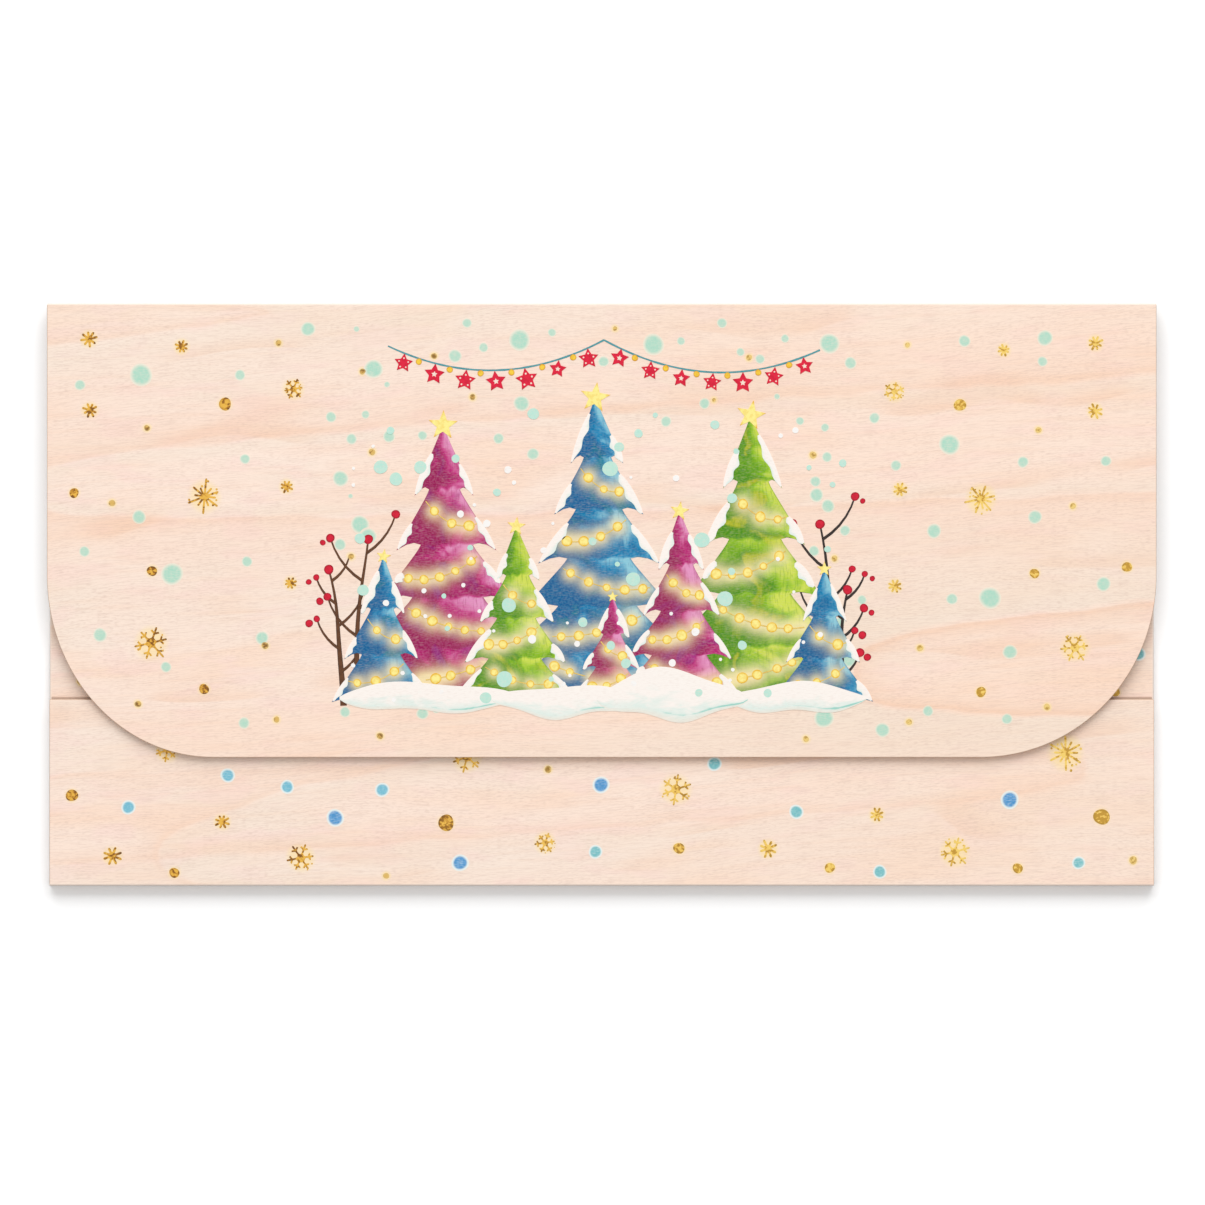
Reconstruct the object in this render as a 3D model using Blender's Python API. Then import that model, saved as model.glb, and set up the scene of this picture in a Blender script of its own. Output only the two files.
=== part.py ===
"""Gift envelope of folded wood veneer board, closed and lying on its back.

X runs along the width, Y up to the top fold, and Z from the back of the envelope to its front.
The envelope is one flat blank folded up. Each panel is modelled flat, with its outer face at
z = 0 and its inner face at z = BOARD, and every fold is an empty on the fold line, which turns
all that hangs on it inwards. The top flap hangs on two folds, with a spine between them.
"""

import math

import bmesh
import bpy
from mathutils import Matrix, Vector

MM = 0.001

# The closed envelope, between the outside corners of its folds
BODY_WIDTH = 219.2 * MM
BODY_HEIGHT = 115.5 * MM
POCKET_ROOM = 0.5 * MM

# Veneer board: maple veneer on a paper core, scored from the inside along each fold
BOARD = 0.6 * MM
EDGE_ROUND = 0.15 * MM
FOLD_RADIUS = 0.5 * MM
SCORE_GAP = 0.2 * MM
CORNER_GAP = 0.3 * MM
FOLD_ANGLE = math.radians(90)

# Bottom flap, the front of the pocket
POCKET_DEPTH = 37 * MM
POCKET_CORNER_RADIUS = 1 * MM

# Side flaps, folded in behind the bottom flap
SIDE_FLAP_DEPTH = 19 * MM
SIDE_FLAP_TAPER = 8 * MM
SIDE_FLAP_CORNER_RADIUS = 3 * MM

# Top flap
FLAP_OVERHANG = 0.4 * MM
FLAP_OVERLAP = 11.5 * MM
FLAP_CORNER_RADIUS = 35 * MM
FLAP_GAP = 0.3 * MM

# Linings: a card sheet inside the back, the bottom flap and the top flap
LINING = 0.3 * MM
LINING_INSET = 1.2 * MM
LINING_SIDE_GAP = 0.6 * MM

# Glue: the line under each lining and disc, and the strips that hold the side flaps
GLUE_GAP = 0.1 * MM
GLUE_STRIP = 0.1 * MM
GLUE_STRIP_WIDTH = 10 * MM
GLUE_STRIP_INSET = 3 * MM
GLUE_STRIP_MARGIN = 2 * MM

# Hidden catch: a magnet disc in the pocket's front and a steel keeper disc in the flap
CATCH_DIAMETER = 6 * MM
CATCH_CLEARANCE = 0.3 * MM
CATCH_CHAMFER = 0.05 * MM
MAGNET_THICKNESS = 0.5 * MM
KEEPER_THICKNESS = 0.3 * MM

# How finely arcs are cut, and how far a cutter runs past what it cuts
FLAP_ARC_STEPS = 24
SMALL_ARC_STEPS = 6
DISC_SIDES = 32
CUTTER_OVERRUN = 1 * MM
ROUND_STEP_SHARES = (0.0, 0.3, 1.0)

# Finishes: colour as seen, roughness and metallic value
MAPLE = ((0.975, 0.885, 0.815), 0.55, 0.0)
MAPLE_SHADED = ((0.94, 0.85, 0.78), 0.55, 0.0)
CARD = ((0.95, 0.92, 0.87), 0.85, 0.0)
GLUE = ((0.92, 0.9, 0.84), 0.4, 0.0)
NICKEL = ((0.75, 0.74, 0.72), 0.22, 1.0)
STEEL = ((0.66, 0.66, 0.67), 0.38, 1.0)

# Heights of the layers above the back's outer face, from the bottom up
BACK_LINING_TOP = BOARD + GLUE_GAP + LINING
SIDE_FOLD_HEIGHT = BACK_LINING_TOP + POCKET_ROOM + BOARD
BOTTOM_FOLD_HEIGHT = SIDE_FOLD_HEIGHT + GLUE_GAP + GLUE_STRIP + GLUE_GAP + BOARD
FLAP_LAYERS = GLUE_GAP + max(LINING, KEEPER_THICKNESS)
TOP_FOLD_HEIGHT = BOTTOM_FOLD_HEIGHT + FLAP_GAP + FLAP_LAYERS + BOARD

# Flap sizes that follow from the rest
FLAP_WIDTH = BODY_WIDTH + 2 * FLAP_OVERHANG
FLAP_DEPTH = BODY_HEIGHT - POCKET_DEPTH + FLAP_OVERLAP
SIDE_LENGTH = BODY_HEIGHT - 2 * (BOARD + CORNER_GAP)
MAGNET_FROM_FOLD = POCKET_DEPTH - FLAP_OVERLAP / 2
KEEPER_FROM_FOLD = FLAP_DEPTH - FLAP_OVERLAP / 2


def clear_scene():
    """Removes what the startup file put there."""
    for old in list(bpy.data.objects):
        bpy.data.objects.remove(old, do_unlink=True)


def to_linear(channel):
    """One colour channel as seen, turned into the linear value that a shader takes."""
    low_share, slope, lift, power = 0.04045, 12.92, 0.055, 2.4
    if channel <= low_share:
        return channel / slope
    return ((channel + lift) / (1 + lift)) ** power


def give_finish(piece, finish):
    """A Principled material of its own for one piece."""
    colour, roughness, metallic = finish
    made = bpy.data.materials.new(piece.name + "_finish")
    made.use_nodes = True
    shader = made.node_tree.nodes["Principled BSDF"]
    shader.inputs["Base Color"].default_value = (*map(to_linear, colour), 1)
    shader.inputs["Roughness"].default_value = roughness
    shader.inputs["Metallic"].default_value = metallic
    piece.data.materials.append(made)


def rectangle(left, low, right, high):
    """Four corners, anticlockwise from the lower left."""
    return [Vector(p) for p in ((left, low), (right, low), (right, high), (left, high))]


def flap_corners(width, depth, taper):
    """A flap's corners, anticlockwise from its fold, with its free end drawn in by the taper."""
    near, far = width / 2, width / 2 - taper
    return [Vector(p) for p in ((-near, 0), (near, 0), (far, depth), (-far, depth))]


def set_back(corners, setbacks):
    """A convex outline's corners once each side has moved inwards by its own setback."""
    lines = []
    for start, end, setback in zip(corners, corners[1:] + corners[:1], setbacks):
        along = (end - start).normalized()
        inwards = Vector((-along.y, along.x))
        lines.append((start + inwards * setback, along))
    moved = []
    for (here, along), (there, onwards) in zip(lines[-1:] + lines[:-1], lines):
        apart = there - here
        slant = along.cross(onwards)
        moved.append(here + along * (apart.cross(onwards) / slant))
    return moved


def round_corners(corners, radii, steps):
    """The outline's points, with an arc at each corner that has a radius."""
    points = []
    for place, (corner, radius) in enumerate(zip(corners, radii)):
        if radius <= 0:
            points.append(corner)
            continue
        back = (corners[place - 1] - corner).normalized()
        ahead = (corners[(place + 1) % len(corners)] - corner).normalized()
        half = back.angle(ahead) / 2
        centre = corner + (back + ahead).normalized() * (radius / math.sin(half))
        spoke = corner + back * (radius / math.tan(half)) - centre
        turn = math.pi - 2 * half
        for step in range(steps + 1):
            points.append(centre + Matrix.Rotation(turn * step / steps, 2) @ spoke)
    return points


def fold_setback(depth):
    """How far a folded side stands back from the fold's outside corner, at a depth below the
    outer face: first the round outside of the fold, then the 45 degree score."""
    arc = 0
    if depth < FOLD_RADIUS:
        arc = FOLD_RADIUS - math.sqrt(FOLD_RADIUS**2 - (FOLD_RADIUS - depth) ** 2)
    return max(arc, depth + SCORE_GAP / math.sqrt(2))


def edge_setback(depth, radius):
    """How far a free, sanded side stands back, at a depth below the outer face."""
    from_face = min(depth, BOARD - depth)
    if from_face >= radius:
        return 0
    return radius - math.sqrt(radius**2 - (radius - from_face) ** 2)


def closed_body(name, rings):
    """A solid whose outline is given at rising heights, as rings of equally many points."""
    shape = bmesh.new()
    levels = []
    for height, points in rings:
        levels.append([shape.verts.new((p.x, p.y, height)) for p in points])
    shape.faces.new(reversed(levels[0]))
    shape.faces.new(levels[-1])
    for below, above in zip(levels, levels[1:]):
        for i, corner in enumerate(below):
            j = (i + 1) % len(below)
            shape.faces.new((corner, below[j], above[j], above[i]))
    mesh = bpy.data.meshes.new(name)
    shape.to_mesh(mesh)
    shape.free()
    mesh.shade_smooth()
    mesh.set_sharp_from_angle(angle=math.radians(30))
    piece = bpy.data.objects.new(name, mesh)
    bpy.context.collection.objects.link(piece)
    return piece


def hang(piece, carrier, place=Matrix()):
    """Puts a piece at a place in its carrier's own frame, and makes it move with it."""
    piece.parent = carrier
    piece.matrix_basis = place
    return piece


def fold(name, carrier, side_turn, distance):
    """An empty on a fold line, with its Y axis on along the blank. side_turn says which side of
    the carrier the fold is on, and distance how far from the carrier's origin it runs."""
    line = bpy.data.objects.new(name, None)
    bpy.context.collection.objects.link(line)
    side = Matrix.Rotation(side_turn, 4, "Z") @ Matrix.Translation((0, distance, 0))
    return hang(line, carrier, side @ Matrix.Rotation(FOLD_ANGLE, 4, "X"))


def board_panel(name, carrier, corners, folded, radii, steps, finish=MAPLE):
    """A panel of veneer board. folded says for each side whether it is scored and folded."""
    radius = min(EDGE_ROUND, BOARD / 2)
    outside = [radius * share for share in ROUND_STEP_SHARES]
    depths = outside + [BOARD - depth for depth in reversed(outside)]
    rings = []
    for depth in depths:
        free = edge_setback(depth, radius)
        setbacks = [fold_setback(depth) if is_fold else free for is_fold in folded]
        tighter = [max(0, r - free) for r in radii]
        points = round_corners(set_back(corners, setbacks), tighter, steps)
        rings.append((depth, points))
    panel = hang(closed_body(name, rings), carrier)
    give_finish(panel, finish)
    return panel


def flap_panel(name, line, width, depth, taper, radius, steps, finish=MAPLE):
    """A flap on its fold, with its two far corners rounded."""
    corners = flap_corners(width, depth, taper)
    folded = (True, False, False, False)
    return board_panel(name, line, corners, folded, (0, 0, radius, radius), steps, finish)


def spine_panel(name, line, length, height):
    """The strip of board between two folds, as high as the layers that it wraps."""
    corners = rectangle(-length / 2, 0, length / 2, height)
    folded = (True, False, True, False)
    return board_panel(name, line, corners, folded, (0, 0, 0, 0), SMALL_ARC_STEPS, MAPLE_SHADED)


def lining_sheet(name, panel, corners, setbacks, radii, steps):
    """A card sheet glued to a panel's inner face, drawn in from the panel's sides."""
    sheet_radii = [max(0, r - LINING_INSET) for r in radii]
    points = round_corners(set_back(corners, setbacks), sheet_radii, steps)
    low = BOARD + GLUE_GAP
    sheet = hang(closed_body(name, [(low, points), (low + LINING, points)]), panel)
    give_finish(sheet, CARD)
    return sheet


def circle(diameter, along):
    """A disc's outline, centred at a distance along its carrier from the fold."""
    spoke = Vector((diameter / 2, 0))
    turns = [2 * math.pi * side / DISC_SIDES for side in range(DISC_SIDES)]
    return [Matrix.Rotation(turn, 2) @ spoke + Vector((0, along)) for turn in turns]


def catch_disc(name, panel, along, thickness, finish):
    """A disc with chamfered rims, glued to a panel's inner face."""
    chamfer = min(CATCH_CHAMFER, thickness / 3)
    low = BOARD + GLUE_GAP
    small, full = circle(CATCH_DIAMETER - 2 * chamfer, along), circle(CATCH_DIAMETER, along)
    heights = (low, low + chamfer, low + thickness - chamfer, low + thickness)
    rings = list(zip(heights, (small, full, full, small)))
    disc = hang(closed_body(name, rings), panel)
    give_finish(disc, finish)
    return disc


def punch(sheet, along):
    """The hole in a lining that a catch disc sits in."""
    low = BOARD + GLUE_GAP - CUTTER_OVERRUN
    high = BOARD + GLUE_GAP + LINING + CUTTER_OVERRUN
    outline = circle(CATCH_DIAMETER + 2 * CATCH_CLEARANCE, along)
    cutter = hang(closed_body(sheet.name + "_punch", [(low, outline), (high, outline)]), sheet)
    cutter.hide_render = True
    cutter.display_type = "WIRE"
    cut = sheet.modifiers.new("disc_hole", "BOOLEAN")
    cut.operation = "DIFFERENCE"
    cut.object = cutter


def build_back():
    """The back panel, folded on all four sides, and its lining."""
    corners = rectangle(-BODY_WIDTH / 2, -BODY_HEIGHT / 2, BODY_WIDTH / 2, BODY_HEIGHT / 2)
    all_round = (True, True, True, True)
    square = (0, 0, 0, 0)
    back = board_panel("back_panel", None, corners, all_round, square, SMALL_ARC_STEPS)
    inset = BOARD + LINING_INSET
    lining_sheet("back_lining", back, corners, [inset] * 4, square, SMALL_ARC_STEPS)
    return back


def build_side(back, side, side_turn):
    """One side: its spine, its flap and the glue strip on the flap's outer face."""
    low_fold = fold(side + "_fold", back, side_turn, BODY_WIDTH / 2)
    spine_panel(side + "_spine", low_fold, SIDE_LENGTH, SIDE_FOLD_HEIGHT)
    high_fold = fold(side + "_flap_fold", low_fold, 0, SIDE_FOLD_HEIGHT)
    flap = flap_panel(
        side + "_side_flap",
        high_fold,
        SIDE_LENGTH,
        SIDE_FLAP_DEPTH,
        SIDE_FLAP_TAPER,
        SIDE_FLAP_CORNER_RADIUS,
        SMALL_ARC_STEPS,
        MAPLE_SHADED,
    )
    # The strip runs from the flap's taper to just short of the pocket's free edge. A left flap
    # has the envelope's bottom at its own -X end, and a right flap at its +X end.
    flap_start = BODY_HEIGHT / 2 - SIDE_LENGTH / 2
    start = SIDE_FLAP_TAPER - SIDE_LENGTH / 2 + GLUE_STRIP_MARGIN
    end = POCKET_DEPTH - flap_start - SIDE_LENGTH / 2 - GLUE_STRIP_MARGIN
    near, far = GLUE_STRIP_INSET, GLUE_STRIP_INSET + GLUE_STRIP_WIDTH
    corners = rectangle(start, near, end, far)
    if side_turn < 0:
        corners = rectangle(-end, near, -start, far)
    levels = [(-GLUE_GAP - GLUE_STRIP, corners), (-GLUE_GAP, corners)]
    strip = hang(closed_body(side + "_glue_strip", levels), flap)
    give_finish(strip, GLUE)


def build_pocket_front(back):
    """The bottom flap on its spine, with its lining and the magnet."""
    low_fold = fold("bottom_fold", back, math.pi, BODY_HEIGHT / 2)
    spine_panel("bottom_spine", low_fold, BODY_WIDTH, BOTTOM_FOLD_HEIGHT)
    high_fold = fold("bottom_flap_fold", low_fold, 0, BOTTOM_FOLD_HEIGHT)
    size = (BODY_WIDTH, POCKET_DEPTH, 0)
    flap = flap_panel("bottom_flap", high_fold, *size, POCKET_CORNER_RADIUS, SMALL_ARC_STEPS)
    side = SIDE_FLAP_DEPTH + LINING_SIDE_GAP
    setbacks = (BOARD + LINING_INSET, side, LINING_INSET, side)
    corners = flap_corners(*size)
    square = (0, 0, 0, 0)
    steps = SMALL_ARC_STEPS
    lining = lining_sheet("bottom_flap_lining", flap, corners, setbacks, square, steps)
    punch(lining, MAGNET_FROM_FOLD)
    catch_disc("pocket_magnet", flap, MAGNET_FROM_FOLD, MAGNET_THICKNESS, NICKEL)


def build_top_flap(back):
    """The top spine and the closing flap, with its lining and the steel keeper."""
    low_fold = fold("spine_fold", back, 0, BODY_HEIGHT / 2)
    spine_panel("top_spine", low_fold, BODY_WIDTH, TOP_FOLD_HEIGHT)
    high_fold = fold("flap_fold", low_fold, 0, TOP_FOLD_HEIGHT)
    size = (FLAP_WIDTH, FLAP_DEPTH, 0)
    radius = min(FLAP_CORNER_RADIUS, FLAP_DEPTH - BOARD)
    flap = flap_panel("top_flap", high_fold, *size, radius, FLAP_ARC_STEPS)
    setbacks = (BOARD + LINING_INSET, LINING_INSET, LINING_INSET, LINING_INSET)
    radii = (0, 0, radius, radius)
    corners = flap_corners(*size)
    lining = lining_sheet("top_flap_lining", flap, corners, setbacks, radii, FLAP_ARC_STEPS)
    punch(lining, KEEPER_FROM_FOLD)
    catch_disc("flap_keeper", flap, KEEPER_FROM_FOLD, KEEPER_THICKNESS, STEEL)


def build_envelope():
    """Folds up the whole blank."""
    clear_scene()
    back = build_back()
    build_side(back, "left", math.pi / 2)
    build_side(back, "right", -math.pi / 2)
    build_pocket_front(back)
    build_top_flap(back)


build_envelope()
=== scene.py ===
"""Dresses the gift envelope of folded wood veneer board, closed and lying on its back.

Lengths are in metres, and in millimetres inside the finishes. X runs along the envelope, Y up to
its top fold and Z from its back to its front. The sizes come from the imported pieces. The envelope
is one sheet of veneer board, so every panel and every ink film carries its place on that unfolded
sheet, and one veneer pattern runs across all of them.
"""

import logging
import math
import random
from collections.abc import Iterable, Mapping, Sequence
from dataclasses import dataclass, field
from enum import Enum
from functools import cached_property, partialmethod
from typing import Any

import bmesh
import bpy
from mathutils import Matrix, Vector


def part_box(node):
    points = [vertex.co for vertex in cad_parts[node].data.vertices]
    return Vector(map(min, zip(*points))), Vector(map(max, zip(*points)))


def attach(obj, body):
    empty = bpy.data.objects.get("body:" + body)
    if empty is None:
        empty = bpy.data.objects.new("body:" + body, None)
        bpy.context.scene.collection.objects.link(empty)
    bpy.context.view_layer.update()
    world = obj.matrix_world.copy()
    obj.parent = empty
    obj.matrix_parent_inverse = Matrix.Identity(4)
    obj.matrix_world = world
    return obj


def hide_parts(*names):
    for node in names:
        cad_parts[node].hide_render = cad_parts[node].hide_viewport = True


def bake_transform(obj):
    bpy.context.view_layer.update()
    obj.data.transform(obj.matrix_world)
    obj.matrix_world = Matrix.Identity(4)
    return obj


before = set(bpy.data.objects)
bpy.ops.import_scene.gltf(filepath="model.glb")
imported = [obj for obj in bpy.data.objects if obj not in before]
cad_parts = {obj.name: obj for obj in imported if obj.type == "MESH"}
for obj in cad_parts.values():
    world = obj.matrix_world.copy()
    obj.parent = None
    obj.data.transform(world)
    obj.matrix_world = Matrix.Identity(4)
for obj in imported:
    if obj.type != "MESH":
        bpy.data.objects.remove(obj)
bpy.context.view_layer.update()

LOG = logging.getLogger("gift_envelope")

MM = 0.001
PER_MM = 1000.0
SHEET = "sheet"
MARK = "mark"
EXTRA = "extra"
SCALED = {"operation": "SCALE"}

Material = bpy.types.Material
Piece = bpy.types.Object
Socket = bpy.types.NodeSocket
Colour = tuple[float, float, float, float]
Outline = list[Vector]
Pair = tuple[float, float]
Spot = tuple[float, float, float]
Mark = tuple[float, float, float]
Zone = tuple[float, float, float, float]
WHITE: Colour = (1.0, 1.0, 1.0, 1.0)


class Body(Enum):
    """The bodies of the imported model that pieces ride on."""

    POCKET = "pocket"
    SPINE = "spine"
    FLAP = "flap"


class Slot(Enum):
    """A material slot's name, which no piece is given here."""

    VENEER = "veneer_board"


class FlakeKind(Enum):
    """A printed snowflake's kind: its number of arms, its hub's share, and the arms' width."""

    PLAIN = (8, 0.46, 0.5 * MM)
    FORKED = (6, 0.33, 0.36 * MM)
    SPIKY = (12, 0.28, 0.38 * MM)

    def __init__(self, arms: int, hub_share: float, width: float) -> None:
        """Names the kind's numbers."""
        self.arms, self.hub_share, self.width = arms, hub_share, width


class Coat(Enum):
    """The order in which inks and foils were printed, counted in coats above the veneer."""

    STAIN = 1
    UNDER = 2
    TWIG = 3
    FOIL = 4
    FAR = 5
    TALL = 6
    MIDDLE = 7
    NEAR = 8
    LIGHT = 9
    SNOW = 10
    DRIFT = 11
    FALL = 12


@dataclass(frozen=True)
class ScreenCurve:
    """The curve between a colour as seen on screen and the linear one that shaders take."""

    knee: float = 0.04045
    slope: float = 12.92
    lift: float = 0.055
    power: float = 2.4
    top: float = 255.0

    def linear(self, shown: float) -> float:
        """Turns one channel into its linear value.

        Args:
            shown: The channel as seen, from 0 to 255.

        Returns:
            The linear channel, from 0 to 1.
        """
        share = shown / self.top
        if share <= self.knee:
            return share / self.slope
        return ((share + self.lift) / (1 + self.lift)) ** self.power


SCREEN = ScreenCurve()


def seen(red: float, green: float, blue: float) -> Colour:
    """The opaque shader colour that shows as these screen values, from 0 to 255."""
    return (SCREEN.linear(red), SCREEN.linear(green), SCREEN.linear(blue), 1.0)


class Value:
    """A number that varies over a surface: one output socket, with arithmetic."""

    def __init__(self, recipe: "Recipe", socket: Socket) -> None:
        """Wraps a socket of one recipe."""
        self.recipe = recipe
        self.socket = socket

    def _math(self, operation: str, *others: "Value | float", flip: bool = False) -> "Value":
        """Adds a Math node.

        Args:
            operation: The node's operation.
            *others: Its inputs beside this value.
            flip: Whether they come before this value.

        Returns:
            The node's result.
        """
        sockets = dict(enumerate((*others, self) if flip else (self, *others)))
        node = self.recipe.node("ShaderNodeMath", {"operation": operation}, sockets)
        return Value(self.recipe, node.outputs[0])

    __add__ = partialmethod(_math, "ADD")
    __radd__ = partialmethod(_math, "ADD", flip=True)
    __sub__ = partialmethod(_math, "SUBTRACT")
    __rsub__ = partialmethod(_math, "SUBTRACT", flip=True)
    __mul__ = partialmethod(_math, "MULTIPLY")
    __rmul__ = partialmethod(_math, "MULTIPLY", flip=True)
    __truediv__ = partialmethod(_math, "DIVIDE")
    __pow__ = partialmethod(_math, "POWER")
    size = partialmethod(_math, "ABSOLUTE")
    turn = partialmethod(_math, "FRACT")
    most = partialmethod(_math, "MAXIMUM")

    def rise(self, low: float, high: float) -> "Value":
        """A soft step from 0 at low to 1 at high.

        Args:
            low: Where the step starts.
            high: Where it ends.

        Returns:
            The step, from 0 to 1.
        """
        settings = {"interpolation_type": "SMOOTHSTEP"}
        sockets = {"Value": self, "From Min": low, "From Max": high}
        node = self.recipe.node("ShaderNodeMapRange", settings, sockets)
        return Value(self.recipe, node.outputs["Result"])

    def band(self, start: float, full: float, last: float, end: float) -> "Value":
        """A soft band: it rises from start to full, and falls from last to end."""
        return self.rise(start, full) * self.rise(end, last)


class Recipe:
    """A node tree, built up node by node."""

    def __init__(self, tree: bpy.types.NodeTree) -> None:
        """Starts from an empty tree."""
        self.tree = tree
        self.tree.nodes.clear()

    def node(
        self,
        kind: str,
        settings: Mapping[str, Any] | None = None,
        sockets: Mapping[str | int, Any] | None = None,
    ) -> bpy.types.Node:
        """Adds a node: its settings first, then the values and links of its sockets.

        Args:
            kind: The node's type.
            settings: Its settings by name.
            sockets: What each input socket gets, by name or number.

        Returns:
            The node.
        """
        made = self.tree.nodes.new(kind)
        for name, setting in (settings or {}).items():
            setattr(made, name, setting)
        for key, given in (sockets or {}).items():
            given = given.socket if isinstance(given, Value) else given
            if isinstance(given, Socket):
                self.tree.links.new(given, made.inputs[key])
            else:
                made.inputs[key].default_value = given
        return made

    def attribute(self, name: str) -> Socket:
        """Reads a mesh attribute as a vector."""
        settings = {"attribute_type": "GEOMETRY", "attribute_name": name}
        return self.node("ShaderNodeAttribute", settings).outputs["Vector"]

    def parts(self, vector: Socket) -> tuple[Value, ...]:
        """Splits a vector into its three values."""
        node = self.node("ShaderNodeSeparateXYZ", None, {"Vector": vector})
        return tuple(Value(self, part) for part in node.outputs)

    def read(self, name: str) -> tuple[Value, ...]:
        """Reads the three values of a mesh attribute."""
        return self.parts(self.attribute(name))

    def in_millimetres(self, place: Socket) -> tuple[Value, ...]:
        """Splits a place in metres into its three values, in millimetres."""
        sockets = {"Vector": place, "Scale": PER_MM}
        return self.parts(self.node("ShaderNodeVectorMath", SCALED, sockets).outputs["Vector"])

    def on_sheet(self) -> tuple[Value, ...]:
        """The place on the unfolded sheet and the depth below its outer face."""
        return self.in_millimetres(self.attribute(SHEET))

    def on_piece(self) -> tuple[Value, ...]:
        """The place in the closed envelope."""
        return self.in_millimetres(self.node("ShaderNodeTexCoord").outputs["Object"])

    def blend(
        self, share: Value | float, first: Any, second: Any, mode: str = "MIX"
    ) -> Socket:
        """Blends two colours.

        Args:
            share: How much of the second shows.
            first: A colour or its socket.
            second: The other one.
            mode: The way the two are blended.

        Returns:
            The blended colour.
        """
        settings = {"data_type": "RGBA", "blend_type": mode, "clamp_factor": True}
        factor, first_socket, second_socket, result = 0, 6, 7, 2
        sockets = {factor: share, first_socket: first, second_socket: second}
        return self.node("ShaderNodeMix", settings, sockets).outputs[result]

    def glaze(self, colour: Any, *coats: tuple[Value | float, Any]) -> Socket:
        """Lays coats of colour over one another.

        Args:
            colour: The lowest colour.
            *coats: How much of each coat shows, and its colour.

        Returns:
            The colour seen.
        """
        for share, tint in coats:
            colour = self.blend(share, colour, tint)
        return colour

    def on_grain(self, colour: Any, grain: "Grain", share: float) -> Socket:
        """Lets a share of the veneer's colour show through another colour."""
        over = self.blend(share, WHITE, grain.colour)
        return self.blend(1.0, colour, over, "MULTIPLY")

    def relief(self, height: Value, depth: float, strength: float) -> Socket:
        """Turns a height from 0 to 1 into a bumped normal, as deep and strong as given."""
        sockets = {"Strength": strength, "Distance": depth, "Height": height}
        return self.node("ShaderNodeBump", None, sockets).outputs["Normal"]


class SharedPattern(Recipe):
    """A pattern that several finishes share, kept as one node group."""

    def __init__(self, name: str) -> None:
        """Starts an empty group of that name."""
        super().__init__(bpy.data.node_groups.new(name, "ShaderNodeTree"))

    def give(self, colour: Socket, **values: Value) -> bpy.types.NodeTree:
        """Ends the pattern with what it gives to a finish.

        Args:
            colour: Its colour.
            **values: Its values by name.

        Returns:
            The group.
        """
        self.tree.interface.new_socket("colour", in_out="OUTPUT", socket_type="NodeSocketColor")
        for name in values:
            self.tree.interface.new_socket(name, in_out="OUTPUT", socket_type="NodeSocketFloat")
        self.node("NodeGroupOutput", None, {"colour": colour, **values})
        return self.tree


class Finish(Recipe):
    """The node tree of one material."""

    def __init__(self, name: str) -> None:
        """Starts an empty material.

        Args:
            name: Its name.
        """
        self.material = bpy.data.materials.new(name)
        self.material.use_nodes = True
        super().__init__(self.material.node_tree)

    def surface(self, base: Any, roughness: Any, **others: Any) -> Material:
        """Ends the recipe with a Principled shader.

        Args:
            base: The colour or its socket.
            roughness: The roughness or its value.
            **others: More sockets, with _ for a space in their names.

        Returns:
            The finished material.
        """
        sockets = {"Base Color": base, "Roughness": roughness}
        sockets.update({name.replace("_", " "): given for name, given in others.items()})
        shader = self.node("ShaderNodeBsdfPrincipled", None, sockets)
        self.node("ShaderNodeOutputMaterial", None, {"Surface": shader.outputs[0]})
        return self.material


@dataclass(frozen=True)
class Layer:
    """One pattern of soft blotches: their size in millimetres, and how much of them shows."""

    length: float
    width: float
    low: float = 0.35
    high: float = 0.65
    share: float = 1.0
    detail: float = 2.0
    warp: float = 0.0
    shift: float = 0.0

    def noise(self, x: Value, y: Value) -> Value:
        """The pattern itself, around one half.

        Args:
            x: The place along the blotches.
            y: The place across them.

        Returns:
            The noise.
        """
        recipe = x.recipe
        sockets = {"X": x / self.length + self.shift, "Y": y / self.width + self.shift}
        place = recipe.node("ShaderNodeCombineXYZ", None, sockets).outputs["Vector"]
        sockets = {"Vector": place, "Scale": 1.0, "Detail": self.detail, "Distortion": self.warp}
        node = recipe.node("ShaderNodeTexNoise", {"noise_dimensions": "2D"}, sockets)
        return Value(recipe, node.outputs[0])

    def shown(self, noise: Value) -> Value:
        """Where the blotches of this noise show, from 0 to the layer's share."""
        return noise.rise(self.low, self.high) * self.share

    def mask(self, x: Value, y: Value) -> Value:
        """Where the blotches show, from 0 to the layer's share."""
        return self.shown(self.noise(x, y))


@dataclass(frozen=True)
class Tongue:
    """The outermost growth ring of one flat-cut tongue, in millimetres on the sheet."""

    tip: Pair
    half: float
    reach: float
    opens: int
    warm_side: int
    share: float
    blunt: int = 4

    def depth(self, x: Value, across: Value, drift: float) -> Value:
        """How far beyond the ring a place lies, on the ring's warm side.

        Args:
            x: The place along the grain.
            across: The place across the grain.
            drift: How far the grain moves across for each step along.

        Returns:
            The distance, negative on the ring's cool side.
        """
        run = (x - self.tip[0]) * (self.opens / self.reach)
        aside = (across - (self.tip[1] + self.tip[0] * drift)).size() / self.half
        slope = aside ** (self.blunt - 1) * (self.blunt / self.half)
        steep = (slope * slope + (1 / self.reach) ** 2) ** 0.5
        return (run - aside**self.blunt) / steep * self.warm_side


@dataclass(frozen=True)
class Grain:
    """What the veneer's pattern gives to a finish."""

    colour: Socket
    flecks: Value
    height: Value
    x: Value
    y: Value


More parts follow.
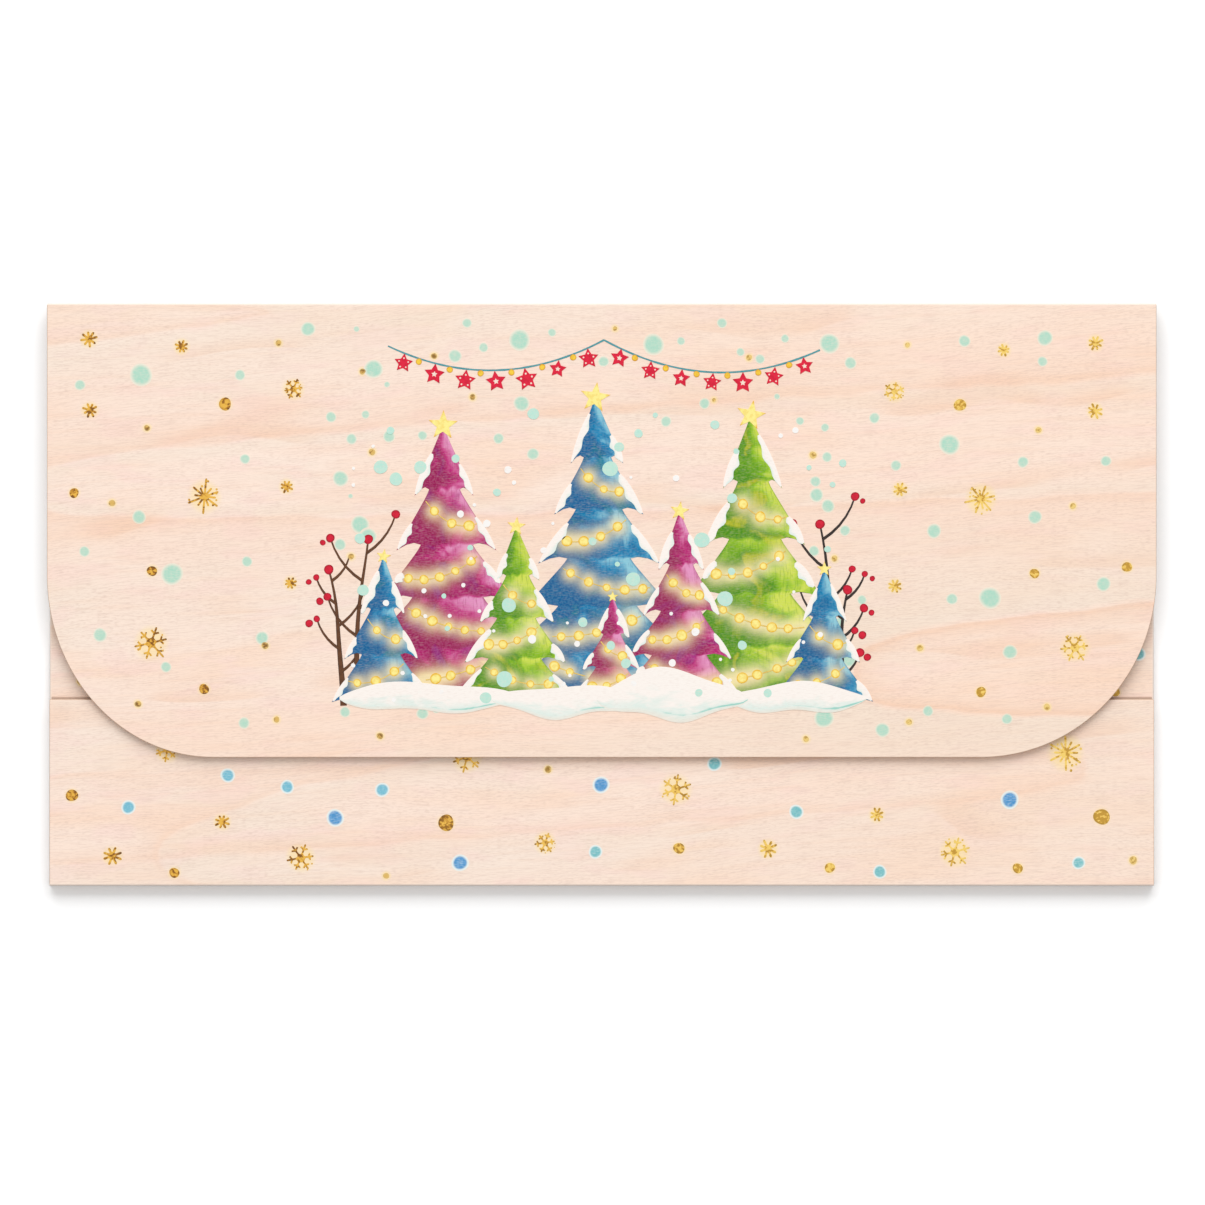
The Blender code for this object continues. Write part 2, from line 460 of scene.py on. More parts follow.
@dataclass(frozen=True)
class MapleVeneer:
    """Pale maple veneer, fine sanded: warm clouds, a few growth rings and hairline flecks."""

    ground: Colour = seen(254, 231, 215)
    peach: Colour = seen(254, 221, 197)
    cream: Colour = seen(254, 236, 222)
    silver: Colour = seen(243, 230, 213)
    pink: Colour = seen(253, 222, 212)
    ring: Colour = seen(246, 203, 173)
    fleck: Colour = seen(205, 176, 163)
    # Paler tone for the folds: stretched fibres, with a painted highlight on them.
    fold_stretch_and_highlight: Colour = seen(246, 231, 219)
    cut_edge: Colour = seen(196, 158, 124)
    core: Colour = seen(226, 200, 170)
    glue_line: Colour = seen(176, 138, 104)
    group_name: str = "maple_grain"
    drift: float = 0.05
    sway: Layer = Layer(80, 30, detail=1.0)
    sway_reach: float = 6.0
    clouds: tuple[tuple[Layer, Colour], ...] = (
        (Layer(52, 11.0, 0.46, 0.68, 0.55), peach),
        (Layer(40, 9.0, 0.5, 0.7, 0.5, shift=4.1), cream),
        (Layer(40, 8.5, 0.56, 0.72, 0.25, shift=7.3), silver),
        (Layer(13, 4.5, 0.5, 0.7, 0.5, shift=11.9), pink),
    )
    streak: Layer = Layer(22, 1.2, 0.5, 0.74, 0.14, detail=3.0)
    hair: Layer = Layer(1.1, 0.16, 0.46, 0.72, 0.25, detail=1.0)
    hair_patch: Layer = Layer(16, 4.5, 0.34, 0.6, 0.5, detail=1.0, shift=2.7)
    long_hair: Layer = Layer(4.2, 0.2, 0.47, 0.72, 0.2, detail=1.0, shift=5.0)
    warmer_right: Pair = (-20.0, 70.0)
    warmer_right_share: float = 0.3
    warmer_end: Pair = (136.0, 142.0)
    warmer_end_share: float = 0.42
    ring_step: float = 17.0
    ring_sway: Layer = Layer(60, 18, detail=1.0, shift=3.3)
    ring_reach: float = 1.1
    ring_late: Pair = (0.45, 0.965)
    ring_patch: Layer = Layer(30, 10, 0.46, 0.66, 0.42, detail=1.0, shift=1.9)
    tongue_sway: Layer = Layer(14, 6, shift=8.8)
    tongue_reach: float = 2.0
    tongues: tuple[Tongue, ...] = (
        Tongue((50.0, 135.5), 7.2, 10.0, 1, 1, 1.0),
        Tongue((-114.0, 99.0), 6.6, 22.0, 1, -1, 0.6),
        Tongue((-66.0, 63.5), 3.6, 30.0, -1, 1, 0.55, 2),
        Tongue((-88.0, -67.0), 11.4, 26.0, 1, -1, 0.5, 2),
        Tongue((96.0, -84.0), 5.0, 22.0, -1, 1, 0.4),
        Tongue((30.0, 40.0), 8.0, 22.0, 1, 1, 0.8),
        Tongue((-35.0, -20.0), 7.0, 18.0, -1, 1, 0.8),
    )
    tongue_zones: tuple[tuple[Zone, float, Colour], ...] = (
        ((-9.0, -1.0, -1.0, -0.1), 0.5, silver),
        ((0.0, 0.6, 0.6, 8.0), 0.3, ring),
        ((-0.25, 0.12, 0.12, 1.9), 0.42, ring),
    )
    cut_zone: Zone = (0.012, 0.04, 0.56, 0.592)
    core_zone: Zone = (0.17, 0.19, 0.41, 0.43)
    glue_zone: Zone = (0.15, 0.17, 0.19, 0.21)
    cut_share: float = 0.85
    fold_stretch_and_highlight_share: float = 0.8
    roughness: float = 0.58
    roughness_swing: float = 0.3
    shine: float = 0.2
    relief_depth: float = 0.02 * MM
    relief_strength: float = 0.3

    def pattern(self) -> bpy.types.NodeTree:
        """Lays the veneer's pattern out on the unfolded sheet, once for all finishes.

        Returns:
            The pattern's group: its colour, flecks and height, and the place on the sheet.
        """
        known = bpy.data.node_groups.get(self.group_name)
        if known is not None:
            return known
        recipe = SharedPattern(self.group_name)
        x, y, depth = recipe.on_sheet()
        straight = y + x * self.drift
        across = straight + (self.sway.noise(x, y) - 0.5) * self.sway_reach
        streaks = self.streak.noise(x, across)
        paler = streaks.rise(self.streak.low, 1 - self.streak.high) * self.streak.share
        colour = recipe.glaze(
            self.ground,
            *[(layer.mask(x, across), tint) for layer, tint in self.clouds],
            (x.rise(*self.warmer_right) * self.warmer_right_share, self.peach),
            (across.rise(*self.warmer_end) * self.warmer_end_share, self.peach),
            (self.streak.shown(streaks), self.ring),
            (paler, self.cream),
            (self.rings(x, across), self.ring),
        )
        colour = self.draw_tongues(colour, x, straight)
        hair = self.hair.noise(x, across)
        long_hair = self.long_hair.noise(x, across)
        patch = self.hair_patch.mask(x, across) + (1 - self.hair_patch.share)
        flecks = hair.rise(self.hair.low, self.hair.high) * patch
        colour = recipe.blend(flecks * self.hair.share, colour, self.fleck)
        colour = recipe.blend(self.long_hair.shown(long_hair), colour, self.fleck)
        core, glue = depth.band(*self.core_zone), depth.band(*self.glue_zone)
        ply = recipe.glaze(self.cut_edge, (core, self.core), (glue, self.glue_line))
        colour = recipe.blend(depth.band(*self.cut_zone) * self.cut_share, colour, ply)
        height = (streaks + hair + long_hair) / 3
        return recipe.give(colour, flecks=flecks, height=height, x=x, y=y)

    def grain(self, recipe: Recipe) -> Grain:
        """Brings the veneer's pattern into a finish."""
        colour, *values = recipe.node("ShaderNodeGroup", {"node_tree": self.pattern()}).outputs
        return Grain(colour, *[Value(recipe, value) for value in values])

    def rings(self, x: Value, across: Value) -> Value:
        """The growth rings: each deepens slowly and ends in a sharp line.

        Args:
            x: The place along the grain.
            across: The place across it.

        Returns:
            Where the rings show, from 0 to 1.
        """
        sway = (self.ring_sway.noise(x, across) - 0.5) * self.ring_reach
        ring = (across / self.ring_step + sway).turn()
        late = ring.rise(*self.ring_late) ** 3 * ring.rise(1.0, self.ring_late[1])
        return late * self.ring_patch.mask(x, across)

    def draw_tongues(self, colour: Any, x: Value, straight: Value) -> Socket:
        """Draws the tongues: a warm line that fades to one side, and a silvery zone on the other.

        Args:
            colour: The colour without them.
            x: The place along the grain.
            straight: The place across it, without its sway.

        Returns:
            The colour with them.
        """
        sway = (self.tongue_sway.noise(x, straight) - 0.5) * self.tongue_reach
        for tongue in self.tongues:
            depth = tongue.depth(x, straight + sway, self.drift)
            for zone, share, tint in self.tongue_zones:
                cover = depth.band(*zone) * (tongue.share * share)
                colour = x.recipe.blend(cover, colour, tint)
        return colour

    def make(self, name: str) -> Material:
        """The bare veneer, paler round each fold: partly stretched fibres, partly a painted
        highlight.

        Args:
            name: The material's name.

        Returns:
            The material.
        """
        recipe = Finish(name)
        grain = self.grain(recipe)
        # Painted highlight over stretched fibres: the fold strips are lightened, most halfway round
        # each fold.
        folded = recipe.read(EXTRA)[0] * self.fold_stretch_and_highlight_share
        roughness = self.roughness + (grain.height - 0.5) * self.roughness_swing
        colour = recipe.blend(folded, grain.colour, self.fold_stretch_and_highlight)
        return self.sanded(recipe, grain, colour, roughness)

    def sanded(
        self, recipe: Finish, grain: Grain, colour: Any, roughness: Any
    ) -> Material:
        """Ends a finish that lies on the veneer and takes its fine relief."""
        normal = recipe.relief(grain.height, self.relief_depth, self.relief_strength)
        return recipe.surface(colour, roughness, Specular_IOR_Level=self.shine, Normal=normal)


@dataclass(frozen=True)
class DropInk:
    """A round drop of ink that thins out at its rim and lets the veneer show through."""

    veneer: MapleVeneer
    pigment: Colour
    halo: Colour | None = None
    body_share: float = 0.86
    soft_share: float = 0.13
    halo_cover: float = 0.75
    cover: float = 0.95
    fleck_share: float = 0.3
    brushed: Layer = Layer(0.5, 0.9, 0.36, 0.7, 0.12)
    streaked: Colour | None = None
    roughness: float = 0.5

    def make(self, name: str) -> Material:
        """The ink on the veneer.

        Args:
            name: The material's name.

        Returns:
            The material.
        """
        recipe = Finish(name)
        grain = self.veneer.grain(recipe)
        radial, strength, _ = recipe.read(MARK)
        brushed = self.brushed.mask(grain.x, grain.y)
        pigment = recipe.blend(brushed, self.pigment, self.streaked or self.veneer.cream)
        colour = grain.colour
        if self.halo is not None:
            rim = radial.rise(1.0, (1.0 + self.body_share) / 2)
            colour = recipe.blend(rim * self.halo_cover, colour, self.halo)
        inner, outer = self.body_share - self.soft_share, self.body_share + self.soft_share
        body = radial.rise(outer, inner) * strength * self.cover
        colour = recipe.blend(body * (1 - grain.flecks * self.fleck_share), colour, pigment)
        return self.veneer.sanded(recipe, grain, colour, self.roughness)


@dataclass(frozen=True)
class GoldFoil:
    """Hot-stamped gold foil, broken by the grain, browner to the left and yellower to the right,
    with a painted sheen that lightens or darkens each mark.
    """

    dark: Colour = seen(112, 68, 12)
    amber: Colour = seen(190, 128, 30)
    bright: Colour = seen(232, 180, 70)
    pale: Colour = seen(246, 214, 116)
    olive: Colour = seen(160, 124, 40)
    specks: Layer = Layer(0.8, 0.7, warp=0.3)
    crinkle: Layer = Layer(0.22, 0.15, shift=8.0)
    left: float = -70.0
    right: float = 70.0
    roughness: float = 0.36
    roughness_swing: float = 0.3
    metal: float = 0.4
    sheen_tilt_share: float = 0.1
    yellow_share: float = 0.8
    olive_share: float = 0.3
    crinkle_share: float = 0.6
    worn_rim: float = 0.0
    worn: Colour = seen(238, 206, 136)
    relief_depth: float = 0.03 * MM
    relief_strength: float = 0.5

    def make(self, name: str) -> Material:
        """The foil.

        Args:
            name: The material's name.

        Returns:
            The material.
        """
        recipe = Finish(name)
        x, y, _ = recipe.on_sheet()
        radial, sheen_tilt, _ = recipe.read(MARK)
        # Painted highlight and shade: the mark's second value lightens or darkens the foil, on
        # flakes lighter to one side and darker to the other.
        mottle = self.specks.noise(x, y) + sheen_tilt * self.sheen_tilt_share
        crinkle = self.crinkle.noise(x, y)
        right = x.rise(self.left, self.right)
        body = recipe.blend(mottle.rise(0.4, 0.58), self.amber, self.bright)
        yellow = recipe.blend(mottle.rise(0.38, 0.56), self.bright, self.pale)
        tip = recipe.blend(right, self.dark, self.olive)
        dark = mottle.rise(0.47, 0.36) * 0.75 + radial.rise(0.6, 1.0) * 0.3
        worn = radial.rise(0.45, 1.0) * self.worn_rim
        dark *= 1 - right * self.olive_share
        coats = (right * self.yellow_share, yellow), (dark, tip), (worn, self.worn)
        height = crinkle * self.crinkle_share + mottle * (1 - self.crinkle_share)
        normal = recipe.relief(height, self.relief_depth, self.relief_strength)
        roughness = self.roughness + (crinkle - 0.5) * self.roughness_swing
        colour = recipe.glaze(body, *coats)
        return recipe.surface(colour, roughness, Metallic=self.metal, Normal=normal)


@dataclass(frozen=True)
class StainAndPaintedShade:
    """A tint in the veneer that thins out towards its rim: a stain round the gold, and a painted
    shadow along the pocket's seam.
    """

    veneer: MapleVeneer
    tint: Colour
    cover: float
    fleck_share: float = 0.3

    def make(self, name: str) -> Material:
        """The tinted veneer.

        Args:
            name: The material's name.

        Returns:
            The material.
        """
        recipe = Finish(name)
        grain = self.veneer.grain(recipe)
        rim = recipe.read(MARK)[0].rise(1.0, 0.5)
        share = rim * self.cover * (1 - grain.flecks * self.fleck_share)
        colour = recipe.blend(share, grain.colour, self.tint)
        return self.veneer.sanded(recipe, grain, colour, self.veneer.roughness)


@dataclass(frozen=True)
class Wash:
    """Watercolour on wood: it pools dark, runs out pale, and the grain shows through it."""

    veneer: MapleVeneer
    deep: Colour
    middle: Colour
    pale: Colour
    accent: Colour
    lit: Colour = seen(255, 248, 196)
    lit_share: float = 0.92
    fleck_share: float = 0.12
    rim_share: float = 0.6
    bloom: Layer = Layer(7.0, 6.0, 0.55, 0.72, 0.5, detail=3.0, warp=0.8)
    needles: Layer = Layer(0.45, 2.6, 0.5, 0.7, 0.35, warp=0.4)
    needle_lean: float = 1.4
    speckle: Layer = Layer(0.45, 0.45, 0.58, 0.42, 0.1)
    tree_shift: float = 60.0
    grain_share: float = 0.5
    roughness: float = 0.5

    def make(self, name: str) -> Material:
        """The wash of one tree.

        Args:
            name: The material's name.

        Returns:
            The material.
        """
        recipe = Finish(name)
        grain = self.veneer.grain(recipe)
        side, down, bough = recipe.read(MARK)
        glow, rim, shade = recipe.read(EXTRA)
        along = grain.x + shade * self.tree_shift
        bloom = self.bloom.noise(along, grain.y)
        tone = down * 0.16 + bough * 0.3 + bloom * 0.9 - side * 0.26 - 0.2
        needles = self.needles.mask(along + side * self.needle_lean, grain.y)
        colour = recipe.glaze(
            self.pale,
            (tone.rise(0.1, 0.4), self.middle),
            (tone.rise(0.28, 0.62), self.deep),
            (self.bloom.shown(bloom), self.accent),
            (needles, self.deep),
            (self.speckle.mask(grain.x, grain.y), self.pale),
            (rim.rise(0.6, 1.0) * self.rim_share, self.deep),
            (glow * self.lit_share, self.lit),
        )
        colour = recipe.on_grain(colour, grain, self.grain_share)
        colour = recipe.blend(grain.flecks * self.fleck_share, colour, self.veneer.cream)
        return self.veneer.sanded(recipe, grain, colour, self.roughness)


@dataclass(frozen=True)
class BrushInk:
    """A brush stroke in one colour, darker along its rim, with the grain below it."""

    veneer: MapleVeneer
    body: Colour
    rim: Colour
    mottle: Layer = Layer(0.8, 0.8, 0.4, 0.66, 0.3)
    rim_share: float = 0.8
    grain_share: float = 0.35
    roughness: float = 0.5

    def make(self, name: str) -> Material:
        """The stroke.

        Args:
            name: The material's name.

        Returns:
            The material.
        """
        recipe = Finish(name)
        grain = self.veneer.grain(recipe)
        rim = recipe.read(MARK)[0].rise(0.55, 1.0) * self.rim_share
        share = self.mottle.mask(grain.x, grain.y) + rim
        colour = recipe.on_grain(recipe.blend(share, self.body, self.rim), grain, self.grain_share)
        return self.veneer.sanded(recipe, grain, colour, self.roughness)


@dataclass(frozen=True)
class SnowInk:
    """Creamy white for snow, minty in its hollows, with a brushed stroke along its lee side."""

    veneer: MapleVeneer
    white: Colour = seen(253, 245, 238)
    hollow: Colour = seen(214, 236, 228)
    stroke: Colour = seen(138, 208, 194)
    drift: Layer = Layer(4.0, 1.5, warp=0.5)
    hollow_share: float = 0.7
    stroke_share: float = 0.85
    fade_share: float = 0.9
    fleck_share: float = 0.12

    def make(self, name: str) -> Material:
        """The snow.

        Args:
            name: The material's name.

        Returns:
            The material.
        """
        recipe = Finish(name)
        grain = self.veneer.grain(recipe)
        down, stroke, fade = recipe.read(MARK)
        drift = self.drift.noise(grain.x, grain.y) - 0.5
        colour = recipe.glaze(
            self.white,
            ((down + drift * 0.8).rise(0.45, 0.95) * self.hollow_share, self.hollow),
            ((stroke + drift * 0.5).rise(0.5, 0.75) * self.stroke_share, self.stroke),
            (fade * self.fade_share, grain.colour),
            (grain.flecks * self.fleck_share, self.veneer.fleck),
        )
        return self.veneer.sanded(recipe, grain, colour, self.veneer.roughness)


@dataclass(frozen=True)
class LiningCard:
    """Uncoated cream card: short fibres, a faint felt pattern and the odd darker hair."""

    ground: Colour = seen(244, 237, 223)
    warm: Colour = seen(235, 224, 205)
    fibre: Colour = seen(206, 192, 170)
    cloud: Layer = Layer(12.0, 9.0, 0.3, 0.7, 0.3, detail=3.0)
    felt: Layer = Layer(0.5, 0.5, 0.45, 0.7, 0.3, detail=3.0, warp=1.2)
    hairs: Layer = Layer(2.4, 0.2, 0.66, 0.8, 0.5, detail=1.0, warp=2.5)
    roughness: float = 0.85
    roughness_swing: float = 0.2
    shine: float = 0.2
    relief_depth: float = 0.04 * MM

    def make(self, name: str) -> Material:
        """The card.

        Args:
            name: The material's name.

        Returns:
            The material.
        """
        recipe = Finish(name)
        x, y, _ = recipe.on_piece()
        felt = self.felt.noise(x, y)
        colour = recipe.glaze(
            self.ground,
            (self.cloud.mask(x, y), self.warm),
            (self.felt.shown(felt), self.warm),
            (self.hairs.mask(x, y), self.fibre),
        )
        normal = recipe.relief(felt, self.relief_depth, 0.5)
        roughness = self.roughness + (felt - 0.5) * self.roughness_swing
        return recipe.surface(colour, roughness, Specular_IOR_Level=self.shine, Normal=normal)


@dataclass(frozen=True)
class GlueFilm:
    """Milky double-sided film with a few trapped bubbles."""

    milky: Colour = seen(232, 226, 208)
    clear: Colour = seen(214, 204, 178)
    cloud: Layer = Layer(1.6, 2.2)
    bubbles: Layer = Layer(0.4, 0.4, 0.68, 0.74, detail=0.0)
    roughness: float = 0.3
    cloud_roughness: float = 0.25
    relief_depth: float = 0.03 * MM

    def make(self, name: str) -> Material:
        """The film.

        Args:
            name: The material's name.

        Returns:
            The material.
        """
        recipe = Finish(name)
        x, y, _ = recipe.on_piece()
        cloud = self.cloud.mask(x, y)
        colour = recipe.blend(cloud, self.milky, self.clear)
        normal = recipe.relief(self.bubbles.mask(x, y), self.relief_depth, 0.5)
        return recipe.surface(colour, self.roughness + cloud * self.cloud_roughness, Normal=normal)


@dataclass(frozen=True)
class PunchedMetal:
    """A small punched metal disc: brushed one way, with faint stains."""

    bright: Colour
    dull: Colour
    roughness: float
    brush: Layer = Layer(2.6, 0.06)
    stain: Layer = Layer(1.4, 1.4, 0.4, 0.7, 0.6, detail=3.0, warp=0.6)
    relief_depth: float = 0.01 * MM
    roughness_swing: float = 0.3
    stain_roughness: float = 0.1

    def make(self, name: str) -> Material:
        """The metal.

        Args:
            name: The material's name.

        Returns:
            The material.
        """
        recipe = Finish(name)
        x, y, _ = recipe.on_piece()
        brushed = self.brush.noise(x, y)
        stain = self.stain.mask(x, y)
        colour = recipe.blend(stain, self.bright, self.dull)
        normal = recipe.relief(brushed, self.relief_depth, 0.4)
        swing = (brushed - 0.5) * self.roughness_swing
        roughness = self.roughness + swing + stain * self.stain_roughness
        return recipe.surface(colour, roughness, Metallic=1.0, Normal=normal)


def set_back(corners: Outline, setbacks: Sequence[float]) -> Outline:
    """Moves each side of a convex outline inwards by its own setback.

    Args:
        corners: The outline, anticlockwise.
        setbacks: One for each side, from each corner to the next.

    Returns:
        The new corners.
    """
    lines = []
    for start, end, setback in zip(corners, corners[1:] + corners[:1], setbacks):
        along = (end - start).normalized()
        lines.append((start + Vector((-along.y, along.x)) * setback, along))
    moved = []
    for (here, along), (there, onwards) in zip(lines[-1:] + lines[:-1], lines):
        reach = (there - here).cross(onwards) / along.cross(onwards)
        moved.append(here + along * reach)
    return moved


def round_corners(
    corners: Outline, radii: Sequence[float], leans: Sequence[float], steps: int
) -> Outline:
    """Puts an arc at each corner that has a radius.

    Args:
        corners: The outline, anticlockwise.
        radii: One for each corner, 0 where it stays sharp.
        leans: By what share each arc reaches further along the edge before it than a circle does,
            and less far along the edge after it.
        steps: The sides of each arc.

    Returns:
        The rounded outline.
    """
    points = []
    for place, (corner, radius, lean) in enumerate(zip(corners, radii, leans)):
        if radius <= 0:
            points.append(corner)
            continue
        back = (corners[place - 1] - corner).normalized()
        ahead = (corners[(place + 1) % len(corners)] - corner).normalized()
        half = back.angle(ahead) / 2
        centre = corner + (back + ahead).normalized() * (radius / math.sin(half))
        spoke = corner + back * (radius / math.tan(half)) - centre
        turn = math.pi - 2 * half
        edges = Matrix((back, ahead)).transposed()
        skew = edges @ Matrix.Diagonal(Vector((1 + lean, 1 - lean))) @ edges.inverted()
        for step in range(steps + 1):
            arc = centre + Matrix.Rotation(turn * step / steps, 2) @ spoke
            points.append(corner + skew @ (arc - corner))
    return points


def polar(turn: float, reach: float) -> Vector:
    """A flat vector by its direction and length."""
    return Vector((math.cos(turn), math.sin(turn))) * reach


def beside(path: Sequence[Vector], place: int) -> Vector:
    """The direction square to a path at one of its points, to the left."""
    along = (path[min(len(path) - 1, place + 1)] - path[max(0, place - 1)]).normalized()
    return Vector((-along.y, along.x))


def round_rim(rows: Sequence[Sequence[Any]]) -> list[Any]:
    """What lies round the rim of rows of things, as many in each."""
    right, left = [row[-1] for row in rows[1:-1]], [row[0] for row in rows[-2:0:-1]]
    return [*rows[0], *right, *reversed(rows[-1]), *left]


def finish_mesh(name: str, shape: bmesh.types.BMesh, smooth: bool) -> Piece:
    """Turns a closed bmesh into a piece with its faces pointing out.

    Args:
        name: The piece's name.
        shape: The bmesh, which is freed.
        smooth: Whether its rounds are shaded smooth.

    Returns:
        The piece, in the scene.
    """
    sharp_angle = math.radians(35)
    bmesh.ops.recalc_face_normals(shape, faces=shape.faces)
    mesh = bpy.data.meshes.new(name)
    shape.to_mesh(mesh)
    shape.free()
    if smooth:
        mesh.shade_smooth()
        mesh.set_sharp_from_angle(angle=sharp_angle)
    piece = bpy.data.objects.new(name, mesh)
    bpy.context.scene.collection.objects.link(piece)
    return piece


def dress(piece: Piece, material: Material) -> None:
    """Gives a piece its finish and reports it.

    Args:
        piece: The piece.
        material: Its material.
    """
    piece.data.materials.clear()
    piece.data.materials.append(material)
    LOG.info("%s: %d faces", piece.name, len(piece.data.polygons))


@dataclass(frozen=True)
class PanelPlace:
    """Where a flat panel lies in the folded envelope, and on the sheet it was cut from.

    A point of the panel is given along its fold, away from the fold, and by its depth below the
    outer face.
    """

    origin: Vector
    along: Vector
    away: Vector
    inwards: Vector
    sheet_origin: Vector
    sheet_away: Vector

    def world(self, along: float, away: float, depth: float) -> Vector:
        """The point in the folded envelope."""
        return self.origin + self.along * along + self.away * away + self.inwards * depth

    def sheet(self, along: float, away: float, depth: float) -> Vector:
        """The point on the unfolded sheet, with its depth as the third value."""
        flat = self.sheet_origin + self.along * along + self.sheet_away * away
        return Vector((flat.x, flat.y, depth))

    def flat(self, place: Vector) -> Vector:
        """How far along and away from the fold a point of the envelope's front lies."""
        offset = Vector((place.x, place.y, self.origin.z)) - self.origin
        return Vector((offset.dot(self.along), offset.dot(self.away)))


@dataclass(frozen=True)
class Blank:
    """The one sheet that the envelope is folded from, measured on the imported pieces."""

    width: float
    height: float
    board: float
    side_fold: float
    pocket_fold: float
    top_fold: float
    flap_width: float
    flap_depth: float
    pocket_depth: float
    side_depth: float
    side_length: float
    ink_room: float = 0.08 * MM
    fold_radius: float = 0.36 * MM
    skin: float = 0.12 * MM
    score_gap: float = 0.2 * MM
    edge_round: float = 0.16 * MM
    rim_band: float = 0.06 * MM
    edge_steps: int = 4

    @classmethod
    def measured(cls) -> "Blank":
        """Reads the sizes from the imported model.

        Returns:
            The sheet.
        """
        low_spine, high_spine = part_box("bottom_spine"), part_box("top_spine")
        flap_low, flap_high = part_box("top_flap")
        pocket_high, side_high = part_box("bottom_flap")[1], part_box("left_side_flap")[1]
        spine_low, spine_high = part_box("left_spine")
        top, bottom = high_spine[1].y, low_spine[0].y
        return cls(
            width=low_spine[1].x - low_spine[0].x,
            height=top - bottom,
            board=flap_high.z - flap_low.z,
            side_fold=side_high.z,
            pocket_fold=pocket_high.z,
            top_fold=flap_high.z,
            flap_width=flap_high.x - flap_low.x,
            flap_depth=top - flap_low.y,
            pocket_depth=pocket_high.y - bottom,
            side_depth=side_high.x - spine_low.x,
            side_length=spine_high.y - spine_low.y,
        )

    def edge(self, side: Vector) -> Vector:
        """The middle of the back's edge on one side."""
        return side * (self.width / 2 if side.x else self.height / 2)

    def back(self) -> PanelPlace:
        """The back, measured from its middle."""
        x, y, z = Vector((1, 0, 0)), Vector((0, 1, 0)), Vector((0, 0, 1))
        return PanelPlace(Vector(), x, y, z, Vector(), y)

    def spine(self, side: Vector) -> PanelPlace:
        """The spine that stands on one side of the back.

        Args:
            side: The direction of that side, along X or Y.

        Returns:
            Its place.
        """
        along = Vector((abs(side.y), abs(side.x), 0))
        edge = self.edge(side)
        return PanelPlace(edge, along, Vector((0, 0, 1)), -side, edge, side)

    def flap(self, side: Vector, height: float) -> PanelPlace:
        """A flap folded inwards over one side, with its outer face lowered by the ink's room.

        Args:
            side: The direction of that side, along X or Y.
            height: The height of its fold.

        Returns:
            Its place.
        """
        along = Vector((abs(side.y), abs(side.x), 0))
        edge = self.edge(side)
        face = edge + Vector((0, 0, height - self.ink_room))
        return PanelPlace(face, along, -side, Vector((0, 0, -1)), edge + side * height, side)

    def fold_setback(self, depth: float) -> float:
        """How far a folded side stands back from the fold's corner.

        It starts with a rabbet for the veneer that runs round the fold, goes on round the hollow
        behind that veneer, and ends in the 45 degree score.

        Args:
            depth: The depth below the outer face.

        Returns:
            The setback.
        """
        if depth < self.skin:
            return self.fold_radius
        inner = self.fold_radius - self.skin
        drop = max(0.0, self.fold_radius - depth)
        hollow = self.fold_radius - math.sqrt(max(0.0, inner**2 - drop**2))
        return max(hollow, depth + self.score_gap / math.sqrt(2))

    def edge_setback(self, depth: float, thickness: float) -> float:
        """How far a free, sanded side stands back.

        Args:
            depth: The depth below the outer face.
            thickness: The panel's thickness.

        Returns:
            The setback.
        """
        from_face = min(depth, thickness - depth)
        if from_face >= self.edge_round:
            return 0.0
        drop = self.edge_round - from_face
        return self.edge_round - math.sqrt(self.edge_round**2 - drop**2)

    def depths(self, thickness: float) -> list[float]:
        """The depths at which a panel's outline is drawn.

        Args:
            thickness: The panel's thickness.

        Returns:
            The depths, from the outer face in.
        """
        turns = [math.pi / 2 * step / self.edge_steps for step in range(self.edge_steps + 1)]
        outer = [self.edge_round * (1 - math.cos(turn)) for turn in turns]
        levels = set(outer) | {thickness - depth for depth in outer}
        step = self.skin / self.edge_steps
        levels.add(self.skin - step / self.edge_steps)
        levels |= {self.skin + step * share for share in range(self.edge_steps + 1)}
        return sorted(levels)


def trapezoid(foot: float, near: float, head: float, far: float) -> Outline:
    """Four corners by the levels and the half widths of the foot and the head."""
    return [Vector(p) for p in ((-near, foot), (near, foot), (far, head), (-far, head))]


